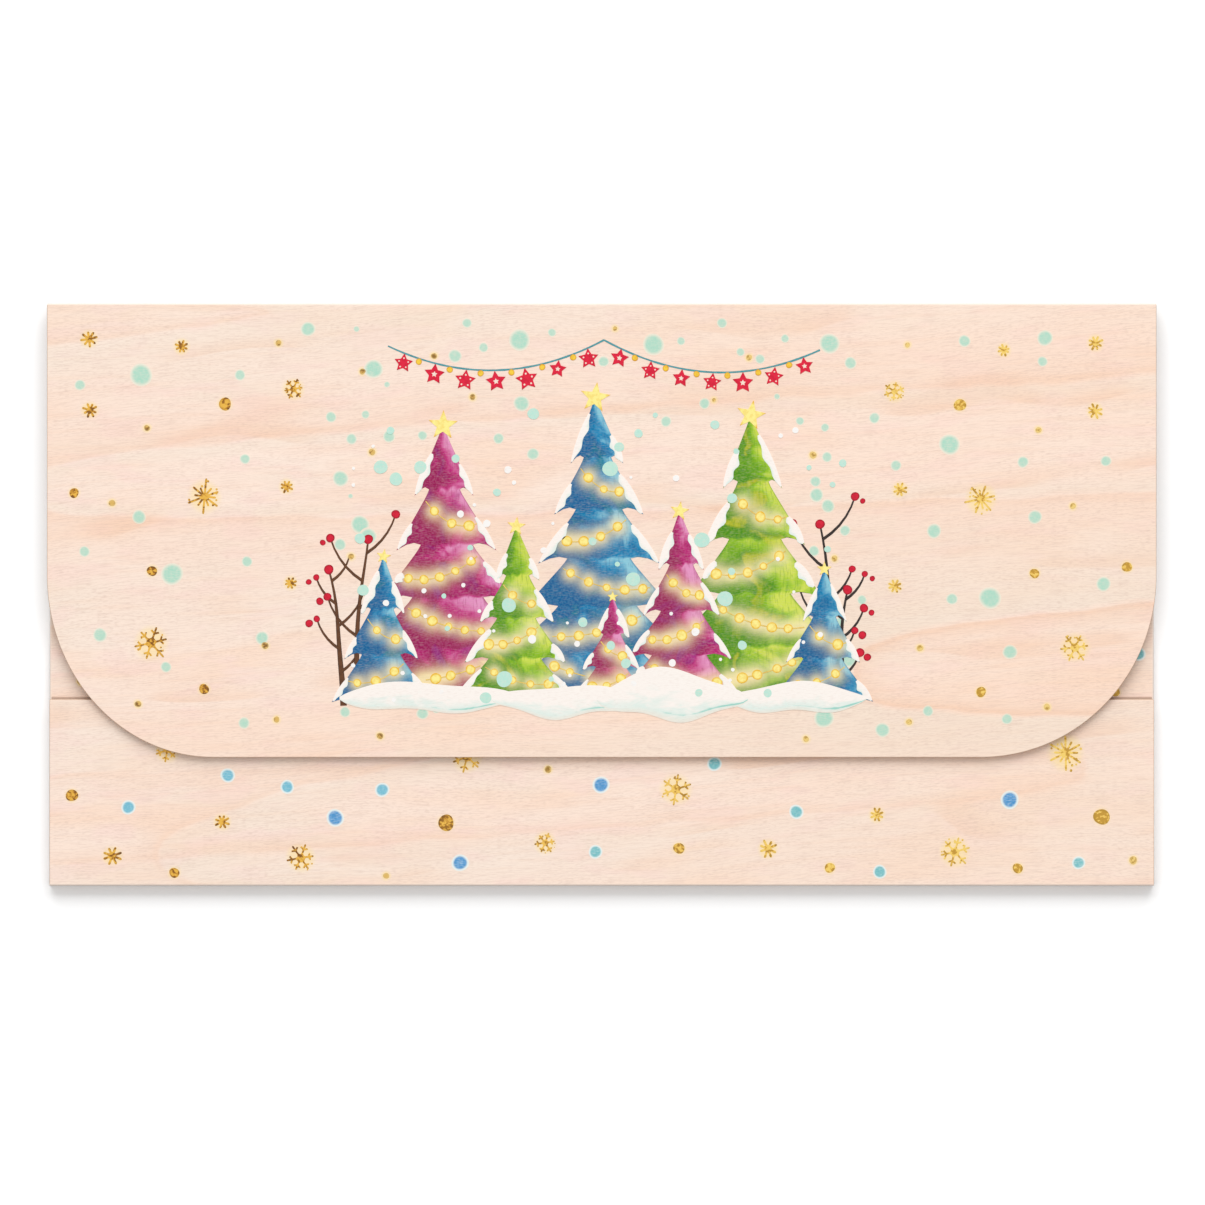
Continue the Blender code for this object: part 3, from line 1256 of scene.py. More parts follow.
@dataclass
class Panel:
    """One panel of veneer board, as it lies in the folded envelope."""

    node: str
    body: Body
    place: PanelPlace
    corners: Outline
    folded: tuple[bool, ...]
    thickness: float
    radii: tuple[float, ...] = (0.0, 0.0, 0.0, 0.0)
    leans: tuple[float, ...] = (0.0, 0.0, 0.0, 0.0)
    arc_steps: int = 10

    def rings(self, blank: Blank) -> list[tuple[float, Outline]]:
        """The panel's outline at each depth, from the outer face to the inner one.

        Args:
            blank: The sheet's own sizes.

        Returns:
            Depths with their outlines.
        """
        depths = blank.depths(self.thickness)
        levels = [(depth, 0.0) for depth in depths]
        found = []
        rims = [(depth, blank.rim_band) for depth in (depths[0], depths[-1])]
        for depth, band in rims[:1] + levels + rims[1:]:
            free = blank.edge_setback(depth, self.thickness) + band
            fold = blank.fold_setback(depth) + band
            setbacks = [fold if is_fold else free for is_fold in self.folded]
            radii = [max(0.0, radius - free) for radius in self.radii]
            corners = set_back(self.corners, setbacks)
            found.append((depth, round_corners(corners, radii, self.leans, self.arc_steps)))
        return found

    def build(self, blank: Blank) -> Piece:
        """Builds the panel's closed mesh.

        Args:
            blank: The sheet's own sizes.

        Returns:
            The piece.
        """
        shape = bmesh.new()
        sheet = shape.verts.layers.float_vector.new(SHEET)
        levels = []
        for depth, points in self.rings(blank):
            ring = []
            for point in points:
                corner = shape.verts.new(self.place.world(point.x, point.y, depth))
                corner[sheet] = self.place.sheet(point.x, point.y, depth)
                ring.append(corner)
            levels.append(ring)
        shape.faces.new(levels[0])
        shape.faces.new(levels[-1])
        for above, below in zip(levels, levels[1:]):
            for quad in zip(above, above[1:] + above[:1], below[1:] + below[:1], below):
                shape.faces.new(quad)
        return finish_mesh(self.node + "_veneer", shape, smooth=True)


@dataclass
class FoldSkin:
    """The outer veneer that runs on round a fold, where the board behind it is scored through."""

    name: str
    bodies: tuple[Body, ...]
    corner: Vector
    first: Vector
    second: Vector
    along: Vector
    length: float
    sheet_corner: Vector
    sheet_onwards: Vector
    arc_steps: int = 12

    def build(self, blank: Blank) -> Piece:
        """Builds the strip as a closed quarter tube.

        Args:
            blank: The sheet's own sizes.

        Returns:
            The piece.
        """
        shape = bmesh.new()
        sheet = shape.verts.layers.float_vector.new(SHEET)
        extra = shape.verts.layers.float_vector.new(EXTRA)
        radius = blank.fold_radius
        centre = self.corner + (self.first + self.second) * radius
        ends = []
        for end in (-self.length / 2, self.length / 2):
            section = []
            for step in range(self.arc_steps + 1):
                turn = math.pi / 2 * step / self.arc_steps
                spoke = -self.second * math.cos(turn) - self.first * math.sin(turn)
                reach = radius * (2 * step / self.arc_steps - 1)
                spot = self.sheet_corner + self.sheet_onwards * reach + self.along * end
                for ring in (radius, radius - blank.skin):
                    corner = shape.verts.new(centre + spoke * ring + self.along * end)
                    corner[sheet] = Vector((spot.x, spot.y, radius - ring))
                    # The fold's paleness, most halfway round: stretched fibres with a painted
                    # highlight.
                    corner[extra] = Vector((math.sin(2 * turn), 0, 0))
                    section.append(corner)
            ends.append(section[::2] + section[::-2])
        for section in ends:
            shape.faces.new(section)
        near, far = ends
        for quad in zip(near, near[1:] + near[:1], far[1:] + far[:1], far):
            shape.faces.new(quad)
        return finish_mesh(self.name, shape, smooth=True)

    def carry(self, piece: Piece, blank: Blank) -> None:
        """Lets the strip ride with its body where the fold is glued, and fixes it where it lies on
        a fold between two bodies.

        Args:
            piece: The strip.
            blank: The sheet's own sizes; not used.
        """
        if self.bodies[0] is self.bodies[1]:
            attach(piece, self.bodies[0].value)
            return
        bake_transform(piece)


@dataclass(frozen=True)
class Side:
    """One side of the back: its spine and its flap, with the bodies of all three."""

    name: str
    flap: str
    out: Vector
    bodies: tuple[Body, ...]
    length: float
    fold: float
    flap_size: tuple[float, float, float]
    radii: Pair
    leans: Pair = (0.0, 0.0)
    arc_steps: int = 10


@dataclass
class Envelope:
    """All the board of the envelope: nine panels, and the veneer round its eight folds."""

    blank: Blank
    veneer: MapleVeneer
    flap_radii: Pair = (35.4 * MM, 34.45 * MM)
    flap_leans: Pair = (0.017, -0.045)
    flap_steps: int = 48
    pocket_radii: Pair = (0.3 * MM, 0.3 * MM)
    side_radii: Pair = (3 * MM, 3 * MM)
    side_taper: float = 8 * MM
    panels: dict[str, Panel] = field(default_factory=dict)

    def sides(self) -> list[Side]:
        """The four sides of the back.

        Returns:
            The sides, with the one that opens last.
        """
        blank = self.blank
        fixed, length = (Body.POCKET,) * len(Body), blank.side_length
        size = (length, blank.side_depth, self.side_taper)
        upright = (fixed, length, blank.side_fold, size, self.side_radii)
        size = (blank.width, blank.pocket_depth, 0.0)
        pocket = (fixed, blank.width, blank.pocket_fold, size, self.pocket_radii)
        size = (blank.flap_width, blank.flap_depth, 0.0)
        rounds = (self.flap_radii, self.flap_leans, self.flap_steps)
        return [
            Side("left", "left_side_flap", Vector((-1, 0, 0)), *upright),
            Side("right", "right_side_flap", Vector((1, 0, 0)), *upright),
            Side("bottom", "bottom_flap", Vector((0, -1, 0)), *pocket),
            Side("top", "top_flap", Vector((0, 1, 0)), tuple(Body), blank.width, blank.top_fold,
                 size, *rounds),
        ]

    def plan(self) -> None:
        """Lays out the back, and the spine and the flap of each side."""
        blank, board, sharp = self.blank, self.blank.board, (0.0, 0.0)
        near, low = blank.width / 2, blank.height / 2
        corners, folded = trapezoid(-low, near, low, near), (True, True, True, True)
        made = [Panel("back_panel", Body.POCKET, blank.back(), corners, folded, board)]
        for side in self.sides():
            near, node, place = side.length / 2, side.name + "_spine", blank.spine(side.out)
            corners = trapezoid(0, near, side.fold - blank.ink_room, near)
            folded = (True, False, True, False)
            made.append(Panel(node, side.bodies[1], place, corners, folded, board))
            width, depth, taper = side.flap_size
            near, place = width / 2, blank.flap(side.out, side.fold)
            corners = trapezoid(0, near, depth, near - taper)
            folded, thickness = (True, False, False, False), board - blank.ink_room
            flat = (side.flap, side.bodies[2], place, corners, folded, thickness)
            made.append(Panel(*flat, sharp + side.radii, sharp + side.leans, side.arc_steps))
        self.panels.update({panel.node: panel for panel in made})

    def skins(self) -> list[FoldSkin]:
        """The veneer strips round all the folds.

        Returns:
            The strips.
        """
        made = []
        for side in self.sides():
            place, out, name = self.blank.spine(side.out), side.out, side.name
            low, up, along = place.origin, place.away, place.along
            high, head = low + up * (side.fold - self.blank.ink_room), side.flap_size[0]
            foot = (side.bodies[:2], low, -out, up, along, side.length, low, out)
            top = (side.bodies[1:], high, -up, -out, along, head, low + out * side.fold, out)
            made += [FoldSkin(name + "_back_fold", *foot), FoldSkin(name + "_flap_fold", *top)]
        return made

    def build(self) -> None:
        """Builds and dresses all the panels and fold strips."""
        material = self.veneer.make("maple_veneer")
        self.plan()
        for panel in self.panels.values():
            piece = panel.build(self.blank)
            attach(piece, panel.body.value)
            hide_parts(panel.node)
            dress(piece, material)
        for skin in self.skins():
            strip = skin.build(self.blank)
            skin.carry(strip, self.blank)
            dress(strip, material)


class Film:
    """One ink or foil on one panel: thin closed shapes, gathered in one mesh."""

    coat_depth = 0.006 * MM
    shape_step = 0.0006 * MM
    shape_steps = 10
    sink = 0.02 * MM
    disc_sides = 28
    disc_shares = (0.35, 0.7, 1.0)
    star_corners = 10
    nothing: Mark = (0.0, 0.0, 0.0)

    def __init__(self, name: str, panel: Panel, coat: Coat) -> None:
        """Starts an empty film.

        Args:
            name: The piece's name.
            panel: The panel that it is printed on.
            coat: The coat that its top reaches.
        """
        self.name, self.panel, self.count = name, panel, 0
        self.coat_top = coat.value * self.coat_depth
        self.shape = bmesh.new()
        layers = self.shape.verts.layers.float_vector
        self.sheet, self.mark, self.extra = [layers.new(name) for name in (SHEET, MARK, EXTRA)]

    @property
    def top(self) -> float:
        """The height of the shape in hand, so that shapes that cross never share a height."""
        return self.coat_top + self.count % self.shape_steps * self.shape_step

    def corner(
        self, place: Vector, lift: float, mark: Sequence[float], extra: Sequence[float]
    ) -> bmesh.types.BMVert:
        """Adds a vertex.

        Args:
            place: Its place on the envelope's front.
            lift: Its height above the veneer.
            mark: What the ink's finish reads there.
            extra: More of the same.

        Returns:
            The vertex.
        """
        flat = self.panel.place.flat(place)
        made = self.shape.verts.new(self.panel.place.world(flat.x, flat.y, -lift))
        made[self.sheet] = self.panel.place.sheet(flat.x, flat.y, -lift)
        made[self.mark], made[self.extra] = Vector(mark), Vector(extra)
        return made

    def close(self, rim: list[bmesh.types.BMVert], places: Sequence[Vector]) -> None:
        """Gives a top surface its side walls and its underside.

        Args:
            rim: The vertices round the top surface, in order.
            places: Their places on the envelope's front.
        """
        low = []
        for corner, place in zip(rim, places):
            low.append(self.corner(place, -self.sink, corner[self.mark], corner[self.extra]))
        for quad in zip(rim, rim[1:] + rim[:1], low[1:] + low[:1], low):
            self.shape.faces.new(quad)
        self.shape.faces.new(low)
        self.count += 1

    def outline(self, points: Outline, marks: Sequence[Mark]) -> None:
        """Adds a flat shape.

        Args:
            points: Its outline.
            marks: What the finish reads at each point.
        """
        rim = [self.corner(p, self.top, mark, self.nothing) for p, mark in zip(points, marks)]
        self.shape.faces.new(rim)
        self.close(rim, points)

    def disc(
        self, centre: Vector, radius: float, shade: float, strength: float = 1.0,
        wobble: float = 0.03,
    ) -> None:
        """Adds a drop that isn't quite round.

        Args:
            centre: Its middle.
            radius: Its radius.
            shade: Its own number from 0 to 1.
            strength: How strongly it is inked.
            wobble: How far it strays from a circle, as a share of its radius.
        """
        turns = [2 * math.pi * side / self.disc_sides for side in range(self.disc_sides)]
        phase = shade * 2 * math.pi
        rings = []
        for share in self.disc_shares:
            points, ring = [], []
            for turn in turns:
                stray = math.sin(2 * turn + phase) + 0.6 * math.sin(3 * turn + 2.3 * phase)
                point = centre + polar(turn, radius * (1 + wobble * stray) * share)
                points.append(point)
                ring.append(self.corner(point, self.top, (share, strength, shade), self.nothing))
            rings.append(ring)
        middle = self.corner(centre, self.top, (0.0, strength, shade), self.nothing)
        for here in range(self.disc_sides):
            after = (here + 1) % self.disc_sides
            self.shape.faces.new((middle, rings[0][here], rings[0][after]))
            for near, far in zip(rings, rings[1:]):
                self.shape.faces.new((near[here], far[here], far[after], near[after]))
        self.close(ring, points)

    def patch(
        self,
        rows: Sequence[Sequence[Vector]],
        marks: Sequence[Sequence[Mark]],
        extras: Sequence[Sequence[Mark]] | None = None,
    ) -> None:
        """Adds a surface of rows of points, as many in each.

        Args:
            rows: The points.
            marks: What the finish reads at each point.
            extras: More of the same.
        """
        grid = []
        extras = extras or [[self.nothing] * len(row) for row in rows]
        for row in zip(rows, marks, extras):
            grid.append([self.corner(p, self.top, mark, extra) for p, mark, extra in zip(*row)])
        for above, below in zip(grid, grid[1:]):
            for quad in zip(above, above[1:], below[1:], below):
                self.shape.faces.new(quad)
        self.close(round_rim(grid), round_rim(rows))

    def stroke(self, path: Sequence[Vector], widths: Sequence[float], shade: float) -> None:
        """Adds a brush stroke of changing width along a path.

        Args:
            path: The points of its middle line.
            widths: The stroke's width at each point.
            shade: Its own number from 0 to 1.
        """
        rows = ([], [], [])
        for place, (point, width) in enumerate(zip(path, widths)):
            out = beside(path, place) * (width / 2)
            for row, offset in zip(rows, (out, Vector((0, 0)), -out)):
                row.append(point + offset)
        self.patch(rows, [[(edge, 1.0, shade)] * len(path) for edge in (1.0, 0.0, 1.0)])

    def star(self, centre: Vector, radius: float, waist: float, lean: float) -> None:
        """Adds a five-pointed star.

        Args:
            centre: Its middle.
            radius: The reach of its points.
            waist: Its inner corners' reach, as a share of the radius.
            lean: How far it is turned.
        """
        points, marks = [], []
        for corner in range(self.star_corners):
            turn = math.pi / 2 + lean + 2 * math.pi * corner / self.star_corners
            points.append(centre + polar(turn, radius * (waist if corner % 2 else 1.0)))
            marks.append((0.2 if corner % 2 else 1.0, 1.0, 0.5))
        self.outline(points, marks)

    def finish(self, material: Material) -> None:
        """Makes the piece, dresses it and lets it ride with its panel.

        Args:
            material: Its finish.
        """
        self.shape.normal_update()
        wide = [face for face in self.shape.faces if len(face.verts) > 4]
        bmesh.ops.triangulate(self.shape, faces=wide, ngon_method="EAR_CLIP")
        piece = finish_mesh(self.name, self.shape, smooth=False)
        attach(piece, self.panel.body.value)
        dress(piece, material)


@dataclass(frozen=True)
class Photo:
    """The photograph's frame, looking straight down on the envelope."""

    pixels: float = 1205.0
    middle: Pair = (601.75, 594.75)
    metres_per_pixel: float = 0.19829 * MM

    def place(self, x: float, y: float) -> Vector:
        """The point of the envelope's front that a pixel shows."""
        across = (x - self.middle[0]) * self.metres_per_pixel
        return Vector((across, (self.middle[1] - y) * self.metres_per_pixel))

    def length(self, pixels: float) -> float:
        """A length in metres."""
        return pixels * self.metres_per_pixel

    def circle(self, x: float, y: float, across: float) -> tuple[Vector, float]:
        """The middle and the radius of a circle that the photograph shows."""
        return self.place(x, y), self.length(across) / 2


PHOTO = Photo()

# Printed ornaments, each with its centre and its diameter in the photograph's pixels
FLAP_PLAIN_FLAKES: tuple[Spot, ...] = (
    (89, 339, 16), (181.5, 346.5, 14), (90, 410, 15), (286.5, 486.5, 13), (290.5, 583, 12),
    (1004, 350, 12), (1095.5, 343, 15), (1095, 411, 15), (900, 489.5, 14), (895, 586, 13),
    (839, 688.5, 12),
)
FLAP_FORKED_FLAKES: tuple[Spot, ...] = (
    (293.5, 389, 20), (894.5, 391.5, 20), (151, 643, 34), (1075, 647.5, 29),
)
FLAP_SPIKY_FLAKES: tuple[Spot, ...] = ((204.5, 496.5, 33), (981, 499, 31))
FLAP_GOLD_DOTS: tuple[Spot, ...] = (
    (278.5, 343, 6), (225, 404, 12.5), (147, 428, 6), (362.5, 371.5, 6), (74, 493, 9.5),
    (112, 503, 6.5), (152, 571, 10), (265, 645.5, 7), (204, 689, 10), (138, 704, 6.5),
    (380, 736, 6.5), (276.5, 719.5, 6), (372, 452, 6.5), (351, 556.5, 6), (434, 356, 6),
    (472.5, 397, 6), (615, 328.5, 4.5), (714, 400, 4), (749, 357.5, 6), (813, 455, 7),
    (834.5, 558.5, 6), (907.5, 345, 5), (960, 405, 12), (1038.5, 430, 6), (1073, 506, 6),
    (1034.5, 573.5, 9.5), (1127, 567, 10), (920, 648, 6.5), (981, 692, 10), (1047, 707, 6.5),
    (909, 722, 6), (806, 739, 6),
)
FLAP_MINT_DOTS: tuple[Spot, ...] = (
    (308, 329, 12), (141, 375, 18.5), (80, 385, 9), (240, 375, 9), (331, 417, 9),
    (245, 459, 8.5), (139, 517, 11.5), (84.5, 551.5, 9), (172, 574, 18), (247, 561.5, 9),
    (100, 635, 11.5), (166, 667, 9), (262, 638, 11), (244, 723, 9.5), (356.5, 329, 5),
    (373.5, 369, 15.5), (387, 384.5, 5), (365.5, 414.5, 7), (351.5, 439, 9), (389, 436.5, 10),
    (422.5, 435.5, 8), (340.5, 478.5, 13), (350.5, 496, 4), (360, 524.5, 15), (368, 536.5, 14),
    (340, 544.5, 10), (364, 638.5, 8), (345, 712, 9), (422.5, 713.5, 10), (436.5, 708.5, 8),
    (467, 323, 8), (483.5, 347.5, 8), (455, 356, 11), (519.5, 340, 17.5), (552, 332.5, 7),
    (521.5, 403.5, 13), (498.5, 438.5, 9), (533, 454, 10), (603.5, 361.5, 9),
    (653.5, 344.5, 17.5), (681, 341, 7), (722, 323, 8.5), (740.5, 352, 7), (760, 359, 8),
    (785, 338.5, 7), (666, 421.5, 9), (704.5, 403.5, 9), (777, 396.5, 5), (800, 421, 7),
    (825, 427.5, 7), (829.5, 343.5, 16.5), (850.5, 363, 10), (874.5, 418, 9), (827, 457, 8.5),
    (815.5, 481.5, 9), (816.5, 495, 11.5), (828, 506, 11), (845, 530.5, 9), (814, 551, 9),
    (964.5, 341, 10), (1045, 338, 13), (1042.5, 361.5, 8.5), (949.5, 444.5, 17),
    (896, 465.5, 9), (1023, 462, 9.5), (1106, 461, 9), (1035, 517, 11.5), (934, 531, 12),
    (1103.5, 584, 12), (990, 598, 18), (952, 599, 9.5), (862, 600, 8), (840, 622, 8),
    (1010, 652, 12), (849, 660, 12), (928, 711, 9), (1007, 719, 9), (882.5, 730, 12),
    (824, 718, 16),
)
POCKET_PLAIN_FLAKES: tuple[Spot, ...] = (
    (112, 856, 18), (222, 822, 15), (768, 849, 18), (877, 815, 14),
)
POCKET_FORKED_FLAKES: tuple[Spot, ...] = (
    (300.5, 858, 28), (545, 843, 21), (676, 789.5, 31), (955, 852, 30), (167, 750, 24),
    (467, 757, 30),
)
POCKET_SPIKY_FLAKES: tuple[Spot, ...] = ((1066, 753, 37),)
POCKET_GOLD_DOTS: tuple[Spot, ...] = (
    (71.5, 795.5, 12), (446, 823, 16), (679, 848.5, 11), (1102, 817, 16), (548, 769.5, 7),
    (830, 868, 10), (386, 876, 6), (174, 873, 10), (1018, 868.5, 10), (1133.5, 860.5, 8),
)
POCKET_AZURE_DOTS: tuple[Spot, ...] = (
    (227.5, 775.5, 11), (128, 807.5, 11), (287, 787, 10.5), (382, 790, 11),
)
POCKET_BLUE_DOTS: tuple[Spot, ...] = (
    (335, 818, 13.5), (460, 863, 13), (601, 785, 13), (1010, 800, 14),
)
POCKET_TEAL_DOTS: tuple[Spot, ...] = (
    (595.5, 852, 10.5), (796.5, 812, 11), (880, 872, 10.5), (1079, 863, 10), (714.5, 764, 11),
)
RIGHT_SIDE_TEAL_DOTS: tuple[Spot, ...] = ((1139, 654, 11),)
RIGHT_SIDE_GOLD_DOTS: tuple[Spot, ...] = ((1116, 692, 9),)
LEFT_SIDE_GOLD_DOTS: tuple[Spot, ...] = ((80, 681.5, 7.5),)


@dataclass
class FlakePen:
    """Draws a snowflake by hand: straight arms on a small hub, never quite alike."""

    kind: FlakeKind
    draw: random.Random
    slender: float = 12 * MM
    turn_stray: float = 0.07
    reach_stray: float = 0.12
    short_share: float = 0.64
    thin_share: float = 0.75
    root_slack: float = 1.02
    least_arm: float = 1.35
    valley_shares: Pair = (0.75, 1.0)
    fork_share: float = 0.56
    fork_reach_share: float = 0.26
    fork_foot_share: float = 2.4
    bead_share: float = 0.07
    bead_chance: float = 0.35

    def arms(self, radius: float) -> list[Pair]:
        """Each arm's direction and length.

        Args:
            radius: The snowflake's radius.

        Returns:
            Directions in order, with lengths.
        """
        start = self.draw.uniform(0.1, 0.5)
        made = []
        for arm in range(self.kind.arms):
            stray = self.draw.uniform(-1, 1) * self.turn_stray
            turn = start + 2 * math.pi * arm / self.kind.arms + stray
            short = self.short_share if self.kind is FlakeKind.SPIKY and arm % 2 else 1.0
            made.append((turn, radius * short * (1 + self.draw.uniform(-1, 1) * self.reach_stray)))
        return made

    def side_points(self, reach: float, root: float, half: float) -> list[Pair]:
        """One side of an arm, from its root to its tip, as distances along it and beside it.

        Args:
            reach: The arm's length.
            root: Where it leaves the hub.
            half: Half its width.

        Returns:
            The points.
        """
        points = [(root, half)]
        if self.kind is FlakeKind.FORKED:
            fork = max(reach * self.fork_share, root + half)
            out = reach * self.fork_reach_share * math.sqrt(0.5)
            slant = half * math.sqrt(0.5)
            points += [(fork, half), (fork + out - slant, out + half + slant)]
            points.append((fork + out + slant, out + half - slant))
            points.append((fork + self.fork_foot_share * half, half))
        return points + [(reach - half, half * 1.05), (reach, half * 0.5)]

    def outline(self, centre: Vector, radius: float) -> tuple[Outline, list[Mark]]:
        """Draws the snowflake's outline.

        Args:
            centre: Its middle.
            radius: Its radius.

        Returns:
            The outline, anticlockwise, and the foil's mark at each point.
        """
        half = self.kind.width / 2
        half *= self.thin_share + radius / self.slender
        hub = radius * self.kind.hub_share
        shade = self.draw.random()
        arms = self.arms(radius)
        points = []
        for place, (turn, reach) in enumerate(arms):
            before = arms[place - 1][0] - (2 * math.pi if place == 0 else 0)
            gap = (turn - before) / 2
            notch = hub * self.draw.uniform(*self.valley_shares)
            valley = max(half * self.root_slack / math.sin(gap), notch)
            points.append(centre + polar(turn - gap, valley))
            root = max(valley * math.cos(gap), hub) * self.root_slack
            side = self.side_points(max(reach, root * self.least_arm), root, half)
            along, beside = polar(turn, 1.0), polar(turn + math.pi / 2, 1.0)
            points += [centre + along * far - beside * out for far, out in side]
            points += [centre + along * far + beside * out for far, out in reversed(side)]
        marks = []
        for point in points:
            offset = point - centre
            # Painted highlight and shade: the flake is lighter on one side and darker on the other.
            sheen_tilt = math.cos(math.atan2(offset.y, offset.x) - shade * 2 * math.pi)
            marks.append((min(1.0, offset.length / radius), sheen_tilt, shade))
        return points, marks

    def beads(self, centre: Vector, radius: float) -> list[tuple[Vector, float]]:
        """The loose specks of foil round a large snowflake.

        Args:
            centre: Its middle.
            radius: Its radius.

        Returns:
            Places with radii.
        """
        made = []
        spots = 0 if self.kind is FlakeKind.PLAIN else self.kind.arms * 2
        for arm in range(spots):
            if self.draw.random() < self.bead_chance:
                turn = math.pi * (arm + self.draw.uniform(-0.2, 0.2)) / self.kind.arms
                place = centre + polar(turn, radius * self.draw.uniform(0.62, 1.0))
                made.append((place, radius * self.bead_share * self.draw.uniform(0.6, 1.1)))
        return made


@dataclass
class ScatterPrint:
    """The gold snowflakes and the gold, mint and blue drops scattered over one panel."""

    name: str
    panel: Panel
    flakes: Sequence[Sequence[Spot]]
    gold_dots: Sequence[Spot]
    drops: Mapping[str, Sequence[Spot]]
    growth: float
    seed: int
    stain_reach: float = 0.6 * MM
    faint: float = 0.75
    full_pixels: float = 15.0
    large_pixels: float = 9.0
    # Painted lightening or darkening of the foil: one value for each whole dot or bead.
    large_sheen_tilts: Pair = (-1.5, 0.1)
    small_sheen_tilts: Pair = (-0.8, 0.8)
    bead_sheen_tilt: float = 0.3
    gold_wobble: float = 0.05
    drop_wobble: float = 0.025

    def build_gold(self, finishes: Mapping[str, Material]) -> None:
        """Prints the gold and the pale ring round it.

        Args:
            finishes: The finishes of the gold and the ring, by their names.
        """
        gold = Film(self.name + "_gold_flakes", self.panel, Coat.FOIL)
        dots = Film(self.name + "_gold_dots", self.panel, Coat.FOIL)
        ring = Film(self.name + "_gold_stain", self.panel, Coat.STAIN)
        draw = random.Random(self.seed)
        for kind, spots in zip(FlakeKind, self.flakes):
            for spot in spots:
                pen = FlakePen(kind, draw)
                centre, radius = PHOTO.circle(*spot)
                gold.outline(*pen.outline(centre, radius))
                for place, size in pen.beads(centre, radius):
                    gold.disc(place, size, draw.random(), self.bead_sheen_tilt)
                ring.disc(centre, radius + self.stain_reach, draw.random())
        for spot in self.gold_dots:
            centre, radius = PHOTO.circle(*spot)
            large = spot[-1] >= self.large_pixels
            film, sheen_tilts = (gold, self.large_sheen_tilts) if large else (dots, self.small_sheen_tilts)
            film.disc(centre, radius, draw.random(), draw.uniform(*sheen_tilts), self.gold_wobble)
            ring.disc(centre, radius + self.stain_reach, draw.random())
        for film, finish in ((gold, "foil"), (dots, "worn"), (ring, "stain")):
            if film.count:
                film.finish(finishes[finish])

    def build_drops(self, finishes: Mapping[str, Material]) -> None:
        """Prints the coloured drops.

        Args:
            finishes: The finish of each ink, by its name.
        """
        draw = random.Random(self.seed + 1)
        for ink, spots in self.drops.items():
            film = Film(f"{self.name}_{ink}_drops", self.panel, Coat.UNDER)
            for spot in spots:
                centre, radius = PHOTO.circle(*spot)
                radius *= self.growth
                strength = min(1.0, self.faint + (1 - self.faint) * spot[-1] / self.full_pixels)
                film.disc(centre, radius, draw.random(), strength, self.drop_wobble)
            film.finish(finishes[ink])


@dataclass(frozen=True)
class Lamp:
    """A golden light on a tree."""

    place: Vector
    radius: float


